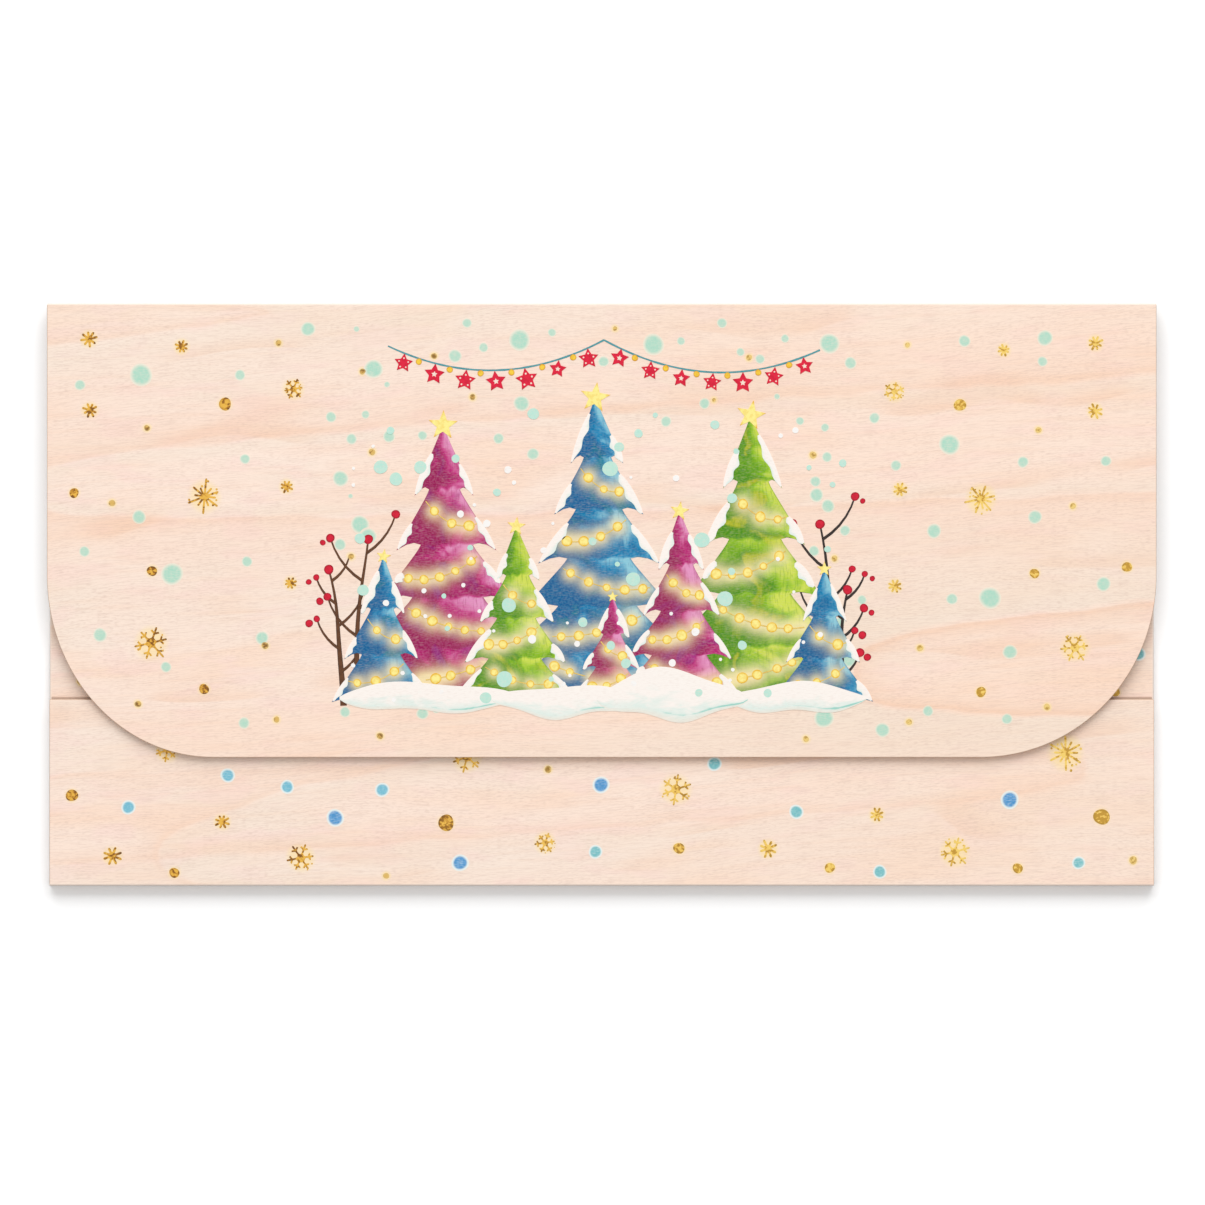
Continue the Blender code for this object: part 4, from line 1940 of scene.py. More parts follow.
@dataclass
class Fir:
    """One stylised fir tree in watercolour, with drooping boughs and strings of lights."""

    name: str
    tint: str
    middle: float
    foot: float
    height: float
    spread: float
    tiers: int
    coat: Coat
    seed: int
    rows_a_tier: int = 9
    rows_under: int = 3
    columns: int = 33
    tip: float = 0.12 * MM
    under_share: float = 0.2
    root_share: float = 0.52
    last_root_share: float = 0.3
    sweep: float = 1.25
    droop_share: float = 0.3
    scallops: float = 3.0
    scallop_share: float = 0.07
    lean_share: float = 0.012
    string_side: float = 0.9
    string_steps: int = 24
    string_sag: float = 0.2
    string_low: float = 0.36
    string_slant: float = 0.16
    lamp_step: float = 3.3 * MM
    lamp_radii: Pair = (0.72 * MM, 1.12 * MM)
    glow_reach: float = 1.9
    lamps: list[Lamp] = field(default_factory=list)
    strings: list[Outline] = field(default_factory=list)

    @cached_property
    def ends(self) -> list[float]:
        """How far down the tree each tier ends, as shares, with the top first."""
        return [(tier / self.tiers) ** 0.9 for tier in range(self.tiers + 1)]

    def tier_at(self, share: float) -> tuple[int, float]:
        """Finds the tier at a height.

        Args:
            share: How far down the tree, from 0 to 1.

        Returns:
            The tier's number, and how far down that tier the height lies.
        """
        ends = self.ends
        tier = min(self.tiers - 1, sum(1 for end in ends[1:] if share >= end))
        return tier, (share - ends[tier]) / (ends[tier + 1] - ends[tier])

    def half_width(self, share: float) -> float:
        """Half the tree's width.

        Args:
            share: How far down the tree, from 0 to 1.

        Returns:
            The half width there.
        """
        tier, local = self.tier_at(share)
        full = self.spread / 2 * self.ends[tier + 1] ** 0.85
        root = self.spread / 2 * self.ends[tier] ** 0.85 * self.root_share if tier else self.tip
        turn = 1 - self.under_share
        if local <= turn:
            return root + (full - root) * (local / turn) ** self.sweep
        following = full * (self.last_root_share if tier == self.tiers - 1 else self.root_share)
        return full + (following - full) * ((local - turn) / self.under_share) ** 0.8

    def shares(self) -> list[float]:
        """The shares down the tree at which its rows lie.

        Returns:
            The shares in order.
        """
        found = []
        for start, end in zip(self.ends, self.ends[1:]):
            turn = start + (end - start) * (1 - self.under_share)
            for high, low, rows in ((start, turn, self.rows_a_tier), (turn, end, self.rows_under)):
                found += [high + (low - high) * row / rows for row in range(rows)]
        return found + [1.0]

    def point(self, side: float, share: float) -> Vector:
        """A point of the tree.

        Args:
            side: From -1 at its left rim to 1 at its right rim.
            share: How far down the tree.

        Returns:
            The point on the envelope's front.
        """
        tier, local = self.tier_at(share)
        tier_height = (self.ends[tier + 1] - self.ends[tier]) * self.height
        turn = 1 - self.under_share
        bend = (local / turn) ** 2 if local <= turn else ((1 - local) / self.under_share) ** 2
        droop = self.droop_share * tier_height * abs(side) ** 3 * bend
        wave = (1 + math.cos(side * math.pi * self.scallops + self.seed)) / 2
        above = (1 - local) ** 4 if tier else 0.0
        hem = self.scallop_share * self.height / self.tiers * (1 - side**2)
        drop = droop + hem * wave * max(local**4, above)
        lean = math.sin(share * 5 + self.seed) * self.lean_share * self.spread
        x = self.middle + lean + side * self.half_width(share)
        return Vector((x, self.foot + self.height * (1 - share) - drop))

    def covers(self, place: Vector, margin: float) -> bool:
        """Whether the tree, with a margin round its rim, covers a point of the front."""
        share = 1 - (place.y - self.foot) / self.height
        return 0 <= share <= 1 and abs(place.x - self.middle) < self.half_width(share) + margin

    def glow(self, place: Vector) -> float:
        """How bright the lamps make a point.

        Args:
            place: The point.

        Returns:
            The brightness, from 0 to 1.
        """
        lamps, reach = self.lamps, self.glow_reach
        shares = [(place - lamp.place).length / (lamp.radius * reach) for lamp in lamps]
        return min(1.0, sum(math.exp(-(share**2)) for share in shares))

    def hang_lamps(self) -> None:
        """Hangs a string of lights across each tier but the top one, to and fro."""
        draw = random.Random(self.seed)
        for tier in range(1, self.tiers):
            start, length = self.ends[tier], self.ends[tier + 1] - self.ends[tier]
            slant = self.string_slant if tier % 2 else -self.string_slant
            left = self.point(-self.string_side, start + length * (self.string_low - slant))
            right = self.point(self.string_side, start + length * (self.string_low + slant))
            path = []
            for step in range(self.string_steps + 1):
                part = step / self.string_steps
                hang = 4 * part * (1 - part) * self.string_sag * length * self.height
                path.append(left.lerp(right, part) - Vector((0, hang)))
            self.strings.append(path)
            count = max(2, round((right - left).length / self.lamp_step))
            for spot in range(count):
                place = path[round((spot + 0.5) / count * self.string_steps)]
                self.lamps.append(Lamp(place, draw.uniform(*self.lamp_radii)))

    def build(self, panel: Panel, material: Material) -> None:
        """Prints the tree.

        Args:
            panel: The panel that it is printed on.
            material: Its wash.
        """
        own = random.Random(self.seed).random()
        sides = [2 * column / (self.columns - 1) - 1 for column in range(self.columns)]
        rows, marks, extras = [], [], []
        for share in self.shares():
            local = self.tier_at(share)[1]
            rows.append([self.point(side, share) for side in sides])
            marks.append([(side, share, local) for side in sides])
            rims = [max(abs(side) ** 6, local**8) for side in sides]
            extras.append([(self.glow(point), rim, own) for point, rim in zip(rows[-1], rims)])
        film = Film(self.name, panel, self.coat)
        film.patch(rows, marks, extras)
        film.finish(material)


@dataclass
class WinterGrove:
    """The printed picture in the middle of the flap: a grove of lit firs in drifted snow."""

    panel: Panel
    veneer: MapleVeneer
    foot: float = -20.4 * MM
    firs: list[Fir] = field(default_factory=list)
    planting: tuple[tuple[str, str, float, float, float, int, Coat], ...] = (
        ("tall_plum_fir", "plum", -31.0, 54.0, 40.0, 5, Coat.FAR),
        ("tall_lime_fir", "lime", 30.0, 56.0, 40.0, 5, Coat.FAR),
        ("tall_blue_fir", "blue", -1.0, 59.5, 41.0, 6, Coat.TALL),
        ("middle_plum_fir", "plum", 15.5, 37.0, 26.0, 4, Coat.MIDDLE),
        ("middle_lime_fir", "lime", -17.0, 34.0, 25.0, 4, Coat.MIDDLE),
        ("small_blue_fir", "blue", 44.0, 25.5, 20.0, 3, Coat.NEAR),
        ("small_plum_fir", "plum", 2.0, 20.0, 15.5, 3, Coat.NEAR),
        ("small_teal_fir", "blue", -43.5, 28.0, 20.0, 3, Coat.NEAR),
    )
    banks: tuple[tuple[float, float, float, float], ...] = (
        (-52.0, -16.0, 3.2, -2.8),
        (24.0, 52.5, 2.8, -3.0),
        (-22.0, 8.0, 2.4, -3.8),
        (-1.0, 29.0, 5.2, -4.2),
    )
    first_seed: int = 11
    seed_step: int = 13
    lamp_seed: int = 5
    cap_seed: int = 9
    bank_columns: int = 34
    bank_levels: int = 8
    trunk_share: float = 0.045
    trunk_root: float = 1.0 * MM
    star_share: float = 0.075
    string_width: float = 0.2 * MM
    cap_steps: int = 14
    cap_start: float = 0.34
    cap_side: float = 0.97
    least_cap: int = 5
    cap_radius: float = 1.1 * MM
    cap_growth: float = 0.012

    def plan(self) -> None:
        """Places the trees, the far ones first."""
        for place, (name, tint, middle, height, spread, tiers, coat) in enumerate(self.planting):
            sizes = (middle * MM, self.foot, height * MM, spread * MM)
            seed = place * self.seed_step + self.first_seed
            fir = Fir(name, tint, *sizes, tiers, coat, seed)
            fir.hang_lamps()
            self.firs.append(fir)

    def hidden(self, place: Vector, fir: Fir, margin: float) -> bool:
        """Whether a nearer tree, with a margin round its rim, covers a point of this one."""
        nearer = [other for other in self.firs if other.coat.value > fir.coat.value]
        return any(other.covers(place, margin) for other in nearer)

    def visible_runs(self, fir: Fir, path: Outline, margin: float) -> list[Outline]:
        """The parts of a path on one tree that no nearer tree covers.

        Args:
            fir: The tree.
            path: The path.
            margin: How far past a tree's rim still counts as covered.

        Returns:
            The parts, each of two points or more.
        """
        runs = [[]]
        for point in path:
            if self.hidden(point, fir, margin):
                runs.append([])
            else:
                runs[-1].append(point)
        return [run for run in runs if len(run) > 1]

    def washes(self) -> dict[str, Material]:
        """The three washes, by the trees' tints.

        Returns:
            The materials.
        """
        colours = {
            "plum": (seen(150, 4, 88), seen(196, 40, 134), seen(232, 158, 212), seen(140, 50, 158)),
            "blue": (seen(0, 98, 160), seen(10, 142, 200), seen(140, 212, 238), seen(0, 136, 146)),
            "lime": (seen(72, 148, 14), seen(142, 202, 30), seen(212, 236, 92), seen(230, 226, 50)),
        }
        found = colours.items()
        return {tint: Wash(self.veneer, *tones).make(tint + "_wash") for tint, tones in found}

    def build_trunks(self) -> None:
        """Prints the trunks."""
        bark = BrushInk(self.veneer, seen(150, 104, 46), seen(78, 48, 26), grain_share=0.6)
        film = Film("brown_trunks", self.panel, Coat.UNDER)
        sides, levels = (-1.0, -0.4, 0.4, 1.0), (0.0, 0.5, 1.0)
        for fir in self.firs:
            half = fir.spread * self.trunk_share
            low, high = self.foot - self.trunk_root, self.foot + fir.height * 0.06
            heights = [high + (low - high) * level for level in levels]
            rows = [[Vector((fir.middle + half * side, y)) for side in sides] for y in heights]
            film.patch(rows, [[(abs(side), 1.0, 0.5) for side in sides]] * len(levels))
        film.finish(bark.make("bark_ink"))

    def build_lamps(self) -> None:
        """Prints the strings of lights, the golden lamps and the star on top of each tree."""
        gold = BrushInk(self.veneer, seen(255, 243, 150), seen(236, 184, 40), grain_share=0.1)
        wire = BrushInk(self.veneer, seen(238, 214, 120), seen(206, 156, 50), grain_share=0.2)
        strings = Film("golden_strings", self.panel, Coat.LIGHT)
        lamps = Film("golden_lamps", self.panel, Coat.SNOW)
        stars = Film("golden_stars", self.panel, Coat.SNOW)
        draw = random.Random(self.lamp_seed)
        for fir in self.firs:
            for path in fir.strings:
                for run in self.visible_runs(fir, path, self.string_width):
                    widths = [self.string_width * draw.uniform(0.7, 1.2) for _ in run]
                    strings.stroke(run, widths, draw.random())
            for lamp in fir.lamps:
                if not self.hidden(lamp.place, fir, lamp.radius):
                    lamps.disc(lamp.place, lamp.radius, draw.random())
            top = fir.point(0.0, 0.0)
            if not self.hidden(top, fir, 0.0):
                stars.star(top, fir.spread * self.star_share, 0.42, draw.uniform(-0.2, 0.2))
        strings.finish(wire.make("string_ink"))
        material = gold.make("golden_lamp_ink")
        lamps.finish(material)
        stars.finish(material)

    def cap(self, film: Film, run: Outline, side: int, depth: float, phase: float) -> None:
        """Lays one strip of snow on the upper edge of a bough.

        Args:
            film: The snow's film.
            run: The edge, from the tree's middle out to the bough's tip.
            side: -1 for a left bough and 1 for a right one.
            depth: How deep the snow lies.
            phase: Where its lumps start.
        """
        rows, levels = ([], [], []), (0.0, 0.4, 0.85)
        for place, point in enumerate(run):
            part = place / (len(run) - 1)
            out = beside(run, place) * side
            swell = math.sin(math.pi * (0.04 + part * 0.93)) ** 0.6 * depth
            lumps = 1 + 0.3 * math.sin(part * 15 + phase)
            for row, reach in zip(rows, (swell * 0.42, -swell * 0.1, -swell * 0.62 * lumps)):
                row.append(point + out * reach)
        film.patch(rows, [[(level, 0.0, 0.0)] * len(run) for level in levels])

    def bank(self, film: Film, size: tuple[float, float, float, float], shade: float) -> None:
        """Prints one snowdrift with a brushed shadow along its lee side.

        Args:
            film: The snow's film.
            size: Its left and right ends, and how far it reaches above and below the trees' foot.
            shade: Its own number from 0 to 1.
        """
        left, right, rise, sag = [length * MM for length in size]
        rows, marks = [], []
        for level in range(self.bank_levels):
            down = level / (self.bank_levels - 1)
            rows.append([])
            marks.append([])
            for column in range(self.bank_columns):
                part = column / (self.bank_columns - 1)
                arch = math.sin(math.pi * min(0.995, part * 0.99 + 0.005))
                crest = arch**0.7 * (1 + 0.22 * math.sin(part * 7 + shade * 6))
                belly = arch**0.5 * (1 + 0.2 * math.sin(part * 11 + shade * 9))
                high, low = self.foot + rise * crest, self.foot + sag * belly
                rows[-1].append(Vector((left + (right - left) * part, high + (low - high) * down)))
                lee = max(0.0, 1 - abs(down - 0.84) / 0.16) * (0.25 + 0.75 * part)
                marks[-1].append((down, lee, max(0.0, down - 0.93) * 8))
        film.patch(rows, marks)

    def cap_tier(self, film: Film, fir: Fir, tier: int, draw: random.Random) -> None:
        """Lays snow on both boughs of one tier.

        Args:
            film: The snow's film.
            fir: The tree.
            tier: The tier's number, from the top.
            draw: The source of chance.
        """
        start, end = fir.ends[tier : tier + 2]
        final = start + (end - start) * (1 - fir.under_share)
        for side in (-1, 1):
            inner = self.cap_start + draw.uniform(-0.1, 0.2)
            depth = (self.cap_radius + fir.height * self.cap_growth) * draw.uniform(0.7, 1.1)
            first, path = start + (end - start) * inner, []
            for step in range(self.cap_steps + 1):
                share = first + (final - first) * step / self.cap_steps
                path.append(fir.point(side * self.cap_side, share))
            for run in self.visible_runs(fir, path, 0.0):
                if len(run) >= self.least_cap:
                    self.cap(film, run, side, depth, draw.uniform(0, 6))

    def build_snow(self) -> None:
        """Prints the snow: caps on the boughs and drifts at the trees' feet."""
        snow = SnowInk(self.veneer).make("snow_ink")
        caps = Film("snow_caps", self.panel, Coat.SNOW)
        draw = random.Random(self.cap_seed)
        for fir in self.firs:
            for tier in range(fir.tiers):
                self.cap_tier(caps, fir, tier, draw)
        caps.finish(snow)
        drifts = Film("snow_drifts", self.panel, Coat.DRIFT)
        for size in self.banks:
            self.bank(drifts, size, draw.random())
        drifts.finish(snow)

    def tops(self) -> list[tuple[Vector, float]]:
        """The places of the stars on the trees, with the radii that they need."""
        return [(fir.point(0.0, 0.0), fir.spread * self.star_share) for fir in self.firs]

    def build(self) -> None:
        """Prints the whole picture."""
        self.plan()
        washes = self.washes()
        self.build_trunks()
        for fir in self.firs:
            fir.build(self.panel, washes[fir.tint])
        self.build_lamps()
        self.build_snow()


@dataclass
class Snowfall:
    """Opaque mint and white drops that fall over the grove."""

    panel: Panel
    veneer: MapleVeneer
    left: float = -50 * MM
    right: float = 49 * MM
    low: float = -21 * MM
    high: float = 36 * MM
    mint_radii: Pair = (0.5 * MM, 1.6 * MM)
    white_radii: Pair = (0.3 * MM, 0.85 * MM)
    mint_count: int = 44
    white_count: int = 64
    strength: float = 0.97
    gap: float = 1.2 * MM
    seed: int = 17

    def build(self, kept_clear: list[tuple[Vector, float]]) -> None:
        """Prints the drops, which keep clear of each other.

        Args:
            kept_clear: Places, with radii, where no drop falls.
        """
        draw = random.Random(self.seed)
        solid = {"body_share": 1.1, "soft_share": 0.1}
        placed = list(kept_clear)
        for name, count, radii, pigment in (
            ("mint_snow", self.mint_count, self.mint_radii, seen(180, 231, 216)),
            ("white_snow", self.white_count, self.white_radii, seen(249, 250, 249)),
        ):
            film = Film(name + "fall", self.panel, Coat.FALL)
            for _ in range(count):
                x, y = draw.uniform(self.left, self.right), draw.uniform(self.low, self.high)
                radius = radii[0] + (radii[1] - radii[0]) * draw.random() ** 2
                spot = Vector((x, y))
                if all((spot - far).length > radius + size + self.gap for far, size in placed):
                    placed.append((spot, radius))
                    film.disc(spot, radius, draw.random(), self.strength)
            film.finish(DropInk(self.veneer, pigment, **solid).make(name + "_ink"))


@dataclass
class StarString:
    """A cord in two swags above the trees, hung with red stars and yellow beads."""

    panel: Panel
    veneer: MapleVeneer
    posts: tuple[Pair, ...] = ((388, 346), (604, 340), (820, 350))
    sag: float = 5.4 * MM
    cord_width: float = 0.36 * MM
    star_radius: float = 2.2 * MM
    star_waist_share: float = 0.52
    trim_share: float = 0.3
    trim_waist_share: float = 0.5
    trim_dots: int = 5
    dot_share: float = 0.085
    dot_place_share: float = 0.5
    bead_radius: float = 0.62 * MM
    stars_a_swag: int = 7
    steps: int = 28
    seed: int = 31

    def point(self, swag: int, share: float) -> Vector:
        """A point of the cord.

        Args:
            swag: Which swag, from 0.
            share: How far along it.

        Returns:
            The point on the envelope's front.
        """
        start, end = PHOTO.place(*self.posts[swag]), PHOTO.place(*self.posts[swag + 1])
        hang = 4 * share * (1 - share) * self.sag
        return start.lerp(end, share) - Vector((0, hang))

    def build(self) -> None:
        """Prints the cord, the stars with their trims, and the beads."""
        cord = Film("star_string_cord", self.panel, Coat.FAR)
        stars = Film("star_string_stars", self.panel, Coat.NEAR)
        trims = Film("star_string_trims", self.panel, Coat.LIGHT)
        beads = Film("star_string_beads", self.panel, Coat.NEAR)
        draw = random.Random(self.seed)
        for swag in range(len(self.posts) - 1):
            path = [self.point(swag, step / self.steps) for step in range(self.steps + 1)]
            widths = [self.cord_width * draw.uniform(0.75, 1.1) for _ in path]
            cord.stroke(path, widths, draw.random())
            for spot in range(self.stars_a_swag):
                radius = self.star_radius * draw.uniform(0.78, 1.05)
                hung = self.point(swag, (spot + 0.5) / self.stars_a_swag)
                centre, lean = hung - Vector((0, radius * 1.05)), draw.uniform(-0.2, 0.2)
                stars.star(centre, radius, self.star_waist_share, lean)
                if (spot + swag) % 2:
                    trims.star(centre, radius * self.trim_share, self.trim_waist_share, lean)
                else:
                    for dot in range(self.trim_dots):
                        turn = math.pi / 2 + lean + dot * math.pi * 0.4
                        place = centre + polar(turn, radius * self.dot_place_share)
                        trims.disc(place, radius * self.dot_share, draw.random())
                if spot:
                    hung = self.point(swag, spot / self.stars_a_swag)
                    hung -= Vector((0, self.bead_radius))
                    beads.disc(hung, self.bead_radius, draw.random())
        for film, name, body, rim, share in (
            (cord, "cord_ink", seen(88, 168, 178), seen(38, 112, 128), 0.3),
            (stars, "red_star_ink", seen(226, 36, 68), seen(170, 8, 40), 0.3),
            (trims, "star_trim_ink", seen(250, 238, 228), seen(246, 214, 200), 0.4),
            (beads, "bead_ink", seen(250, 212, 72), seen(214, 152, 30), 0.2),
        ):
            film.finish(BrushInk(self.veneer, body, rim, grain_share=share).make(name))


@dataclass
class BerrySprigs:
    """Bare sprigs with red berries at both ends of the grove."""

    panel: Panel
    veneer: MapleVeneer
    foot: float = -22 * MM
    steps: int = 12
    root_width: float = 1.3 * MM
    tip_width: float = 0.35 * MM
    twig_width: float = 0.62 * MM
    twig_parts: tuple[float, ...] = (0.0, 0.2, 0.4, 0.6, 0.8, 1.0)
    sway: float = 0.5 * MM
    berry_radii: Pair = (0.6 * MM, 0.95 * MM)
    berry_gap: float = 1.5 * MM
    gold_room: float = 1.1 * MM
    seed: int = 77

    def berry(self, film: Film, place: Vector, radius: float, shade: float) -> None:
        """Prints one berry, unless it would cover a gold mark.

        Args:
            film: The berries' film.
            place: Its middle.
            radius: Its radius.
            shade: Its own number from 0 to 1.
        """
        for spot in FLAP_GOLD_DOTS + FLAP_PLAIN_FLAKES:
            centre, reach = PHOTO.circle(*spot)
            if (place - centre).length < reach + self.gold_room:
                return
        film.disc(place, radius, shade)

    def sprig(
        self, film: Film, berries: Film, root: Vector, height: float, lean: float,
        draw: random.Random,
    ) -> None:
        """Prints one stem with its side twigs and berries.

        Args:
            film: The stems' film.
            berries: The berries' film.
            root: Where the stem leaves the snow.
            height: The stem's height.
            lean: How far its tip leans to the right.
            draw: The source of chance.
        """
        path, widths = [], []
        for step in range(self.steps + 1):
            share = step / self.steps
            sway = lean * share**1.6 + math.sin(share * 6 + lean * PER_MM) * share * self.sway
            path.append(root + Vector((sway, height * share)))
            widths.append(self.root_width + (self.tip_width - self.root_width) * share)
        film.stroke(path, widths, draw.random())
        for twig in range(3, self.steps, 2):
            side = 1 if (twig // 2) % 2 else -1
            start, reach = path[twig], height * draw.uniform(0.16, 0.26)
            tip = start + Vector((side * reach * 0.75, reach))
            bend = start + Vector((side * reach * 0.55, reach * 0.35))
            curve = [start.lerp(bend, t).lerp(bend.lerp(tip, t), t) for t in self.twig_parts]
            film.stroke(curve, [self.twig_width * (1 - t / 2) for t in self.twig_parts], 0.5)
            self.berry(berries, tip, draw.uniform(*self.berry_radii), draw.random())
            if draw.random() < 0.6:
                second = tip + Vector((side * self.berry_gap, -self.berry_gap * 0.6))
                radius = draw.uniform(*self.berry_radii) * 0.85
                self.berry(berries, second, radius, draw.random())
        self.berry(berries, path[-1], self.berry_radii[1], draw.random())

    def build(self) -> None:
        """Prints the sprigs."""
        brown = BrushInk(self.veneer, seen(104, 70, 46), seen(58, 38, 26), grain_share=0.4)
        black = BrushInk(self.veneer, seen(58, 50, 48), seen(26, 22, 22), grain_share=0.3)
        red = BrushInk(self.veneer, seen(218, 34, 60), seen(154, 10, 38), grain_share=0.2)
        berries = Film("red_berries", self.panel, Coat.FOIL)
        draw = random.Random(self.seed)
        for name, ink, stems in (
            ("brown_sprigs", brown, ((-51.2, 27.0, -3.0), (-48.8, 33.0, 2.0))),
            ("black_sprigs", black, ((46.2, 36.0, -3.0), (47.4, 23.0, 1.0))),
        ):
            film = Film(name, self.panel, Coat.TWIG)
            for x, height, lean in stems:
                root = Vector((x * MM, self.foot))
                self.sprig(film, berries, root, height * MM, lean * MM, draw)
            film.finish(ink.make(name + "_ink"))
        berries.finish(red.make("berry_ink"))


@dataclass
class Linings:
    """What lies inside: card linings, glue strips and the two discs of the hidden catch."""

    softened: float = 0.06 * MM

    def soften(self, piece: Piece) -> None:
        """Takes the sharpness off a piece's cut edges."""
        bevel = piece.modifiers.new("softened_edge", "BEVEL")
        bevel.width, bevel.segments, bevel.limit_method = self.softened, 2, "ANGLE"

    def build(self) -> None:
        """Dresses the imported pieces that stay."""
        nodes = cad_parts
        card = LiningCard().make("lining_card")
        glue = GlueFilm().make("glue_film")
        nickel = PunchedMetal(seen(205, 203, 198), seen(172, 168, 160), 0.24).make("magnet_nickel")
        steel = PunchedMetal(seen(186, 187, 190), seen(150, 150, 152), 0.36).make("keeper_steel")
        for name in ("back_lining", "bottom_flap_lining", "top_flap_lining"):
            self.soften(nodes[name])
            dress(nodes[name], card)
        for name in ("left_glue_strip", "right_glue_strip"):
            dress(nodes[name], glue)
        dress(nodes["pocket_magnet"], nickel)
        dress(nodes["flap_keeper"], steel)


@dataclass
class Studio:
    """A pale floor, soft light from beyond the top fold, and a camera straight above."""

    blank: Blank
    floor_half: float = 4.0
    floor_drop: float = 0.02 * MM
    floor_white: Colour = (0.2, 0.2, 0.2, 1.0)
    floor_gain: Colour = (0.93, 0.93, 0.93, 1.0)
    lens: float = 270.0
    film: float = 36.0
    key_distance: float = 3.0
    key_height: float = math.radians(38)
    key_size: Pair = (3.2, 2.2)
    key_share: float = 0.478
    sky: float = 0.63

    def build_floor(self) -> None:
        """Lays the floor, which keeps the shadow and shows white to the camera."""
        half, low = self.floor_half, -self.floor_drop
        corners = [(-half, -half, low), (half, -half, low), (half, half, low), (-half, half, low)]
        mesh = bpy.data.meshes.new("floor")
        mesh.from_pydata(corners, [], [tuple(range(len(corners)))])
        floor = bpy.data.objects.new("floor", mesh)
        bpy.context.scene.collection.objects.link(floor)
        recipe = Finish("floor_white")
        whites = []
        for colour in (self.floor_white, self.floor_gain):
            shader = recipe.node("ShaderNodeBsdfDiffuse", None, {"Color": colour})
            whites.append(shader.outputs[0])
        both = recipe.node("ShaderNodeAddShader", None, dict(enumerate(whites))).outputs[0]
        camera_ray = recipe.node("ShaderNodeLightPath").outputs["Is Camera Ray"]
        mix = recipe.node("ShaderNodeMixShader", None, {0: camera_ray, 1: whites[0], 2: both})
        recipe.node("ShaderNodeOutputMaterial", None, {"Surface": mix.outputs[0]})
        mesh.materials.append(recipe.material)

    def build_sky(self) -> None:
        """Makes the sky: an even fill, which cameras and reflections see as white."""
        world = bpy.data.worlds.new("studio_sky")
        world.use_nodes = True
        bpy.context.scene.world = world
        recipe = Recipe(world.node_tree)
        path = recipe.node("ShaderNodeLightPath").outputs
        seen_by = Value(recipe, path["Is Camera Ray"])
        for ray in ("Is Glossy Ray", "Is Transmission Ray"):
            seen_by = seen_by.most(path[ray])
        sockets = {0: seen_by}
        for place, strength in enumerate((self.sky, 1.0), 1):
            light = {"Color": WHITE, "Strength": strength}
            sockets[place] = recipe.node("ShaderNodeBackground", None, light).outputs[0]
        mix = recipe.node("ShaderNodeMixShader", None, sockets)
        recipe.node("ShaderNodeOutputWorld", None, {"Surface": mix.outputs[0]})

    def build_key(self) -> None:
        """Hangs the large soft lamp beyond the top fold."""
        data = bpy.data.lights.new("key_lamp", "AREA")
        data.shape = "RECTANGLE"
        data.size, data.size_y = self.key_size
        rise = math.sin(self.key_height)
        data.energy = self.key_share * math.pi**2 * self.key_distance**2 / rise
        lamp = bpy.data.objects.new("key_lamp", data)
        away = Vector((0, math.cos(self.key_height), rise)) * self.key_distance
        lamp.location = away
        lamp.rotation_euler = (-away).to_track_quat("-Z", "Y").to_euler()
        bpy.context.scene.collection.objects.link(lamp)

    def build_camera(self) -> None:
        """Puts the camera where the photograph was taken."""
        data = bpy.data.cameras.new("camera")
        data.lens = self.lens
        data.sensor_width = self.film
        camera = bpy.data.objects.new("camera", data)
        bpy.context.scene.collection.objects.link(camera)
        bpy.context.scene.camera = camera
        distance = PHOTO.length(PHOTO.pixels) * self.lens / self.film
        aim = PHOTO.place(PHOTO.pixels / 2, PHOTO.pixels / 2)
        camera.location = (aim.x, aim.y, self.blank.top_fold + distance)

    def build(self) -> None:
        """Sets the studio up."""
        bpy.context.scene.view_settings.view_transform = "Standard"
        self.build_floor()
        self.build_sky()
        self.build_key()
        self.build_camera()


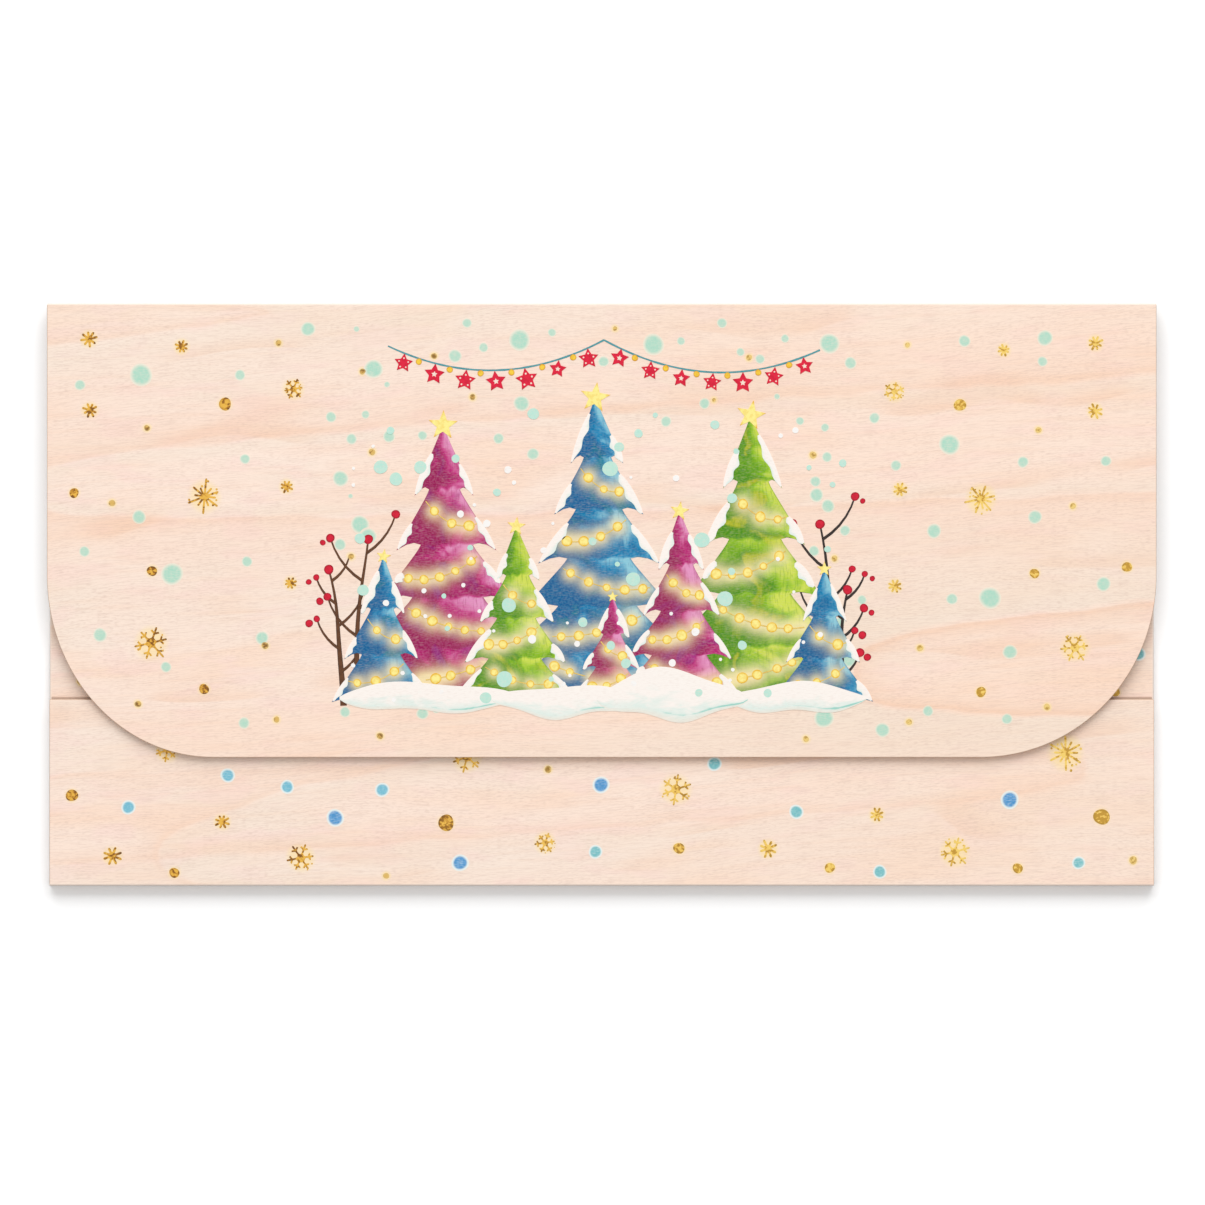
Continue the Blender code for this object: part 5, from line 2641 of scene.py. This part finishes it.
def print_scatter(envelope: Envelope) -> None:
    """Prints the scattered ornaments on the four panels that carry them.

    Args:
        envelope: The folded board.
    """
    veneer, panels = envelope.veneer, envelope.panels
    tints = (seen(118, 82, 34), seen(176, 130, 60), seen(218, 178, 96), seen(240, 210, 128))
    mint = (seen(170, 219, 198), seen(240, 241, 222), 0.78)
    finishes = {
        "foil": GoldFoil().make("gold_foil"),
        "worn": GoldFoil(*tints, worn_rim=0.55).make("worn_gold_foil"),
        "stain": StainAndPaintedShade(veneer, seen(255, 228, 152), 0.55).make("gold_stain"),
        "mint": DropInk(veneer, *mint, soft_share=0.2, halo_cover=0.5).make("mint_ink"),
    }
    pale, body_share = seen(228, 247, 247), 0.72
    brushed = Layer(0.45, 0.8, 0.42, 0.66, 0.4)
    for name, pigment, streaked in (
        ("azure", seen(90, 180, 206), seen(140, 208, 224)),
        ("blue", seen(44, 138, 200), seen(112, 180, 232)),
        ("teal", seen(90, 182, 190), seen(140, 208, 208)),
    ):
        ink = DropInk(veneer, pigment, pale, body_share, brushed=brushed, streaked=streaked)
        finishes[name] = ink.make(name + "_ink")
    flap = (FLAP_PLAIN_FLAKES, FLAP_FORKED_FLAKES, FLAP_SPIKY_FLAKES)
    pocket = (POCKET_PLAIN_FLAKES, POCKET_FORKED_FLAKES, POCKET_SPIKY_FLAKES)
    blues = {"azure": POCKET_AZURE_DOTS, "blue": POCKET_BLUE_DOTS, "teal": POCKET_TEAL_DOTS}
    right, mints = {"teal": RIGHT_SIDE_TEAL_DOTS}, {"mint": FLAP_MINT_DOTS}
    mint_growth, blue_growth = 1.3, 1.4
    for name, node, flakes, gold, drops, growth, seed in (
        ("flap", "top_flap", flap, FLAP_GOLD_DOTS, mints, mint_growth, 101),
        ("pocket", "bottom_flap", pocket, POCKET_GOLD_DOTS, blues, blue_growth, 211),
        ("right_side", "right_side_flap", (), RIGHT_SIDE_GOLD_DOTS, right, blue_growth, 307),
        ("left_side", "left_side_flap", (), LEFT_SIDE_GOLD_DOTS, {}, blue_growth, 401),
    ):
        scatter = ScatterPrint(name, panels[node], flakes, gold, drops, growth, seed)
        scatter.build_gold(finishes)
        scatter.build_drops(finishes)


def paint_seam_shadows(envelope: Envelope) -> None:
    """Paints a brown shadow line on each side flap along the pocket's cut edge, as the shade under
    that step.

    Args:
        envelope: The folded board.
    """
    blank = envelope.blank
    # Painted shadow: a soft brown line stands in for the shade under the pocket's raised edge.
    seam_shadow_ink = StainAndPaintedShade(envelope.veneer, seen(168, 136, 116), 0.65).make("painted_seam_shadow")
    width, inner, lift = 1.2 * MM, 17 * MM, 0.03 * MM
    outer = blank.width / 2 - blank.fold_radius
    level = blank.pocket_depth - blank.height / 2 + lift
    for name, side in (("left", -1), ("right", 1)):
        film = Film(name + "_painted_seam_shadow", envelope.panels[name + "_side_flap"], Coat.UNDER)
        path = [Vector((side * (outer - inner * share), level)) for share in (0.0, 0.5, 1.0)]
        film.stroke(path, [width] * len(path), 0.5)
        film.finish(seam_shadow_ink)


def main() -> None:
    """Builds and dresses the envelope, and sets up the studio."""
    logging.basicConfig(level=logging.INFO, format="%(message)s")
    blank = Blank.measured()
    envelope = Envelope(blank, MapleVeneer())
    envelope.build()
    Linings().build()
    print_scatter(envelope)
    paint_seam_shadows(envelope)
    flap = envelope.panels["top_flap"]
    grove = WinterGrove(flap, envelope.veneer)
    grove.build()
    Snowfall(flap, envelope.veneer).build(grove.tops())
    StarString(flap, envelope.veneer).build()
    BerrySprigs(flap, envelope.veneer).build()
    Studio(blank).build()


if __name__ == "__main__":
    main()
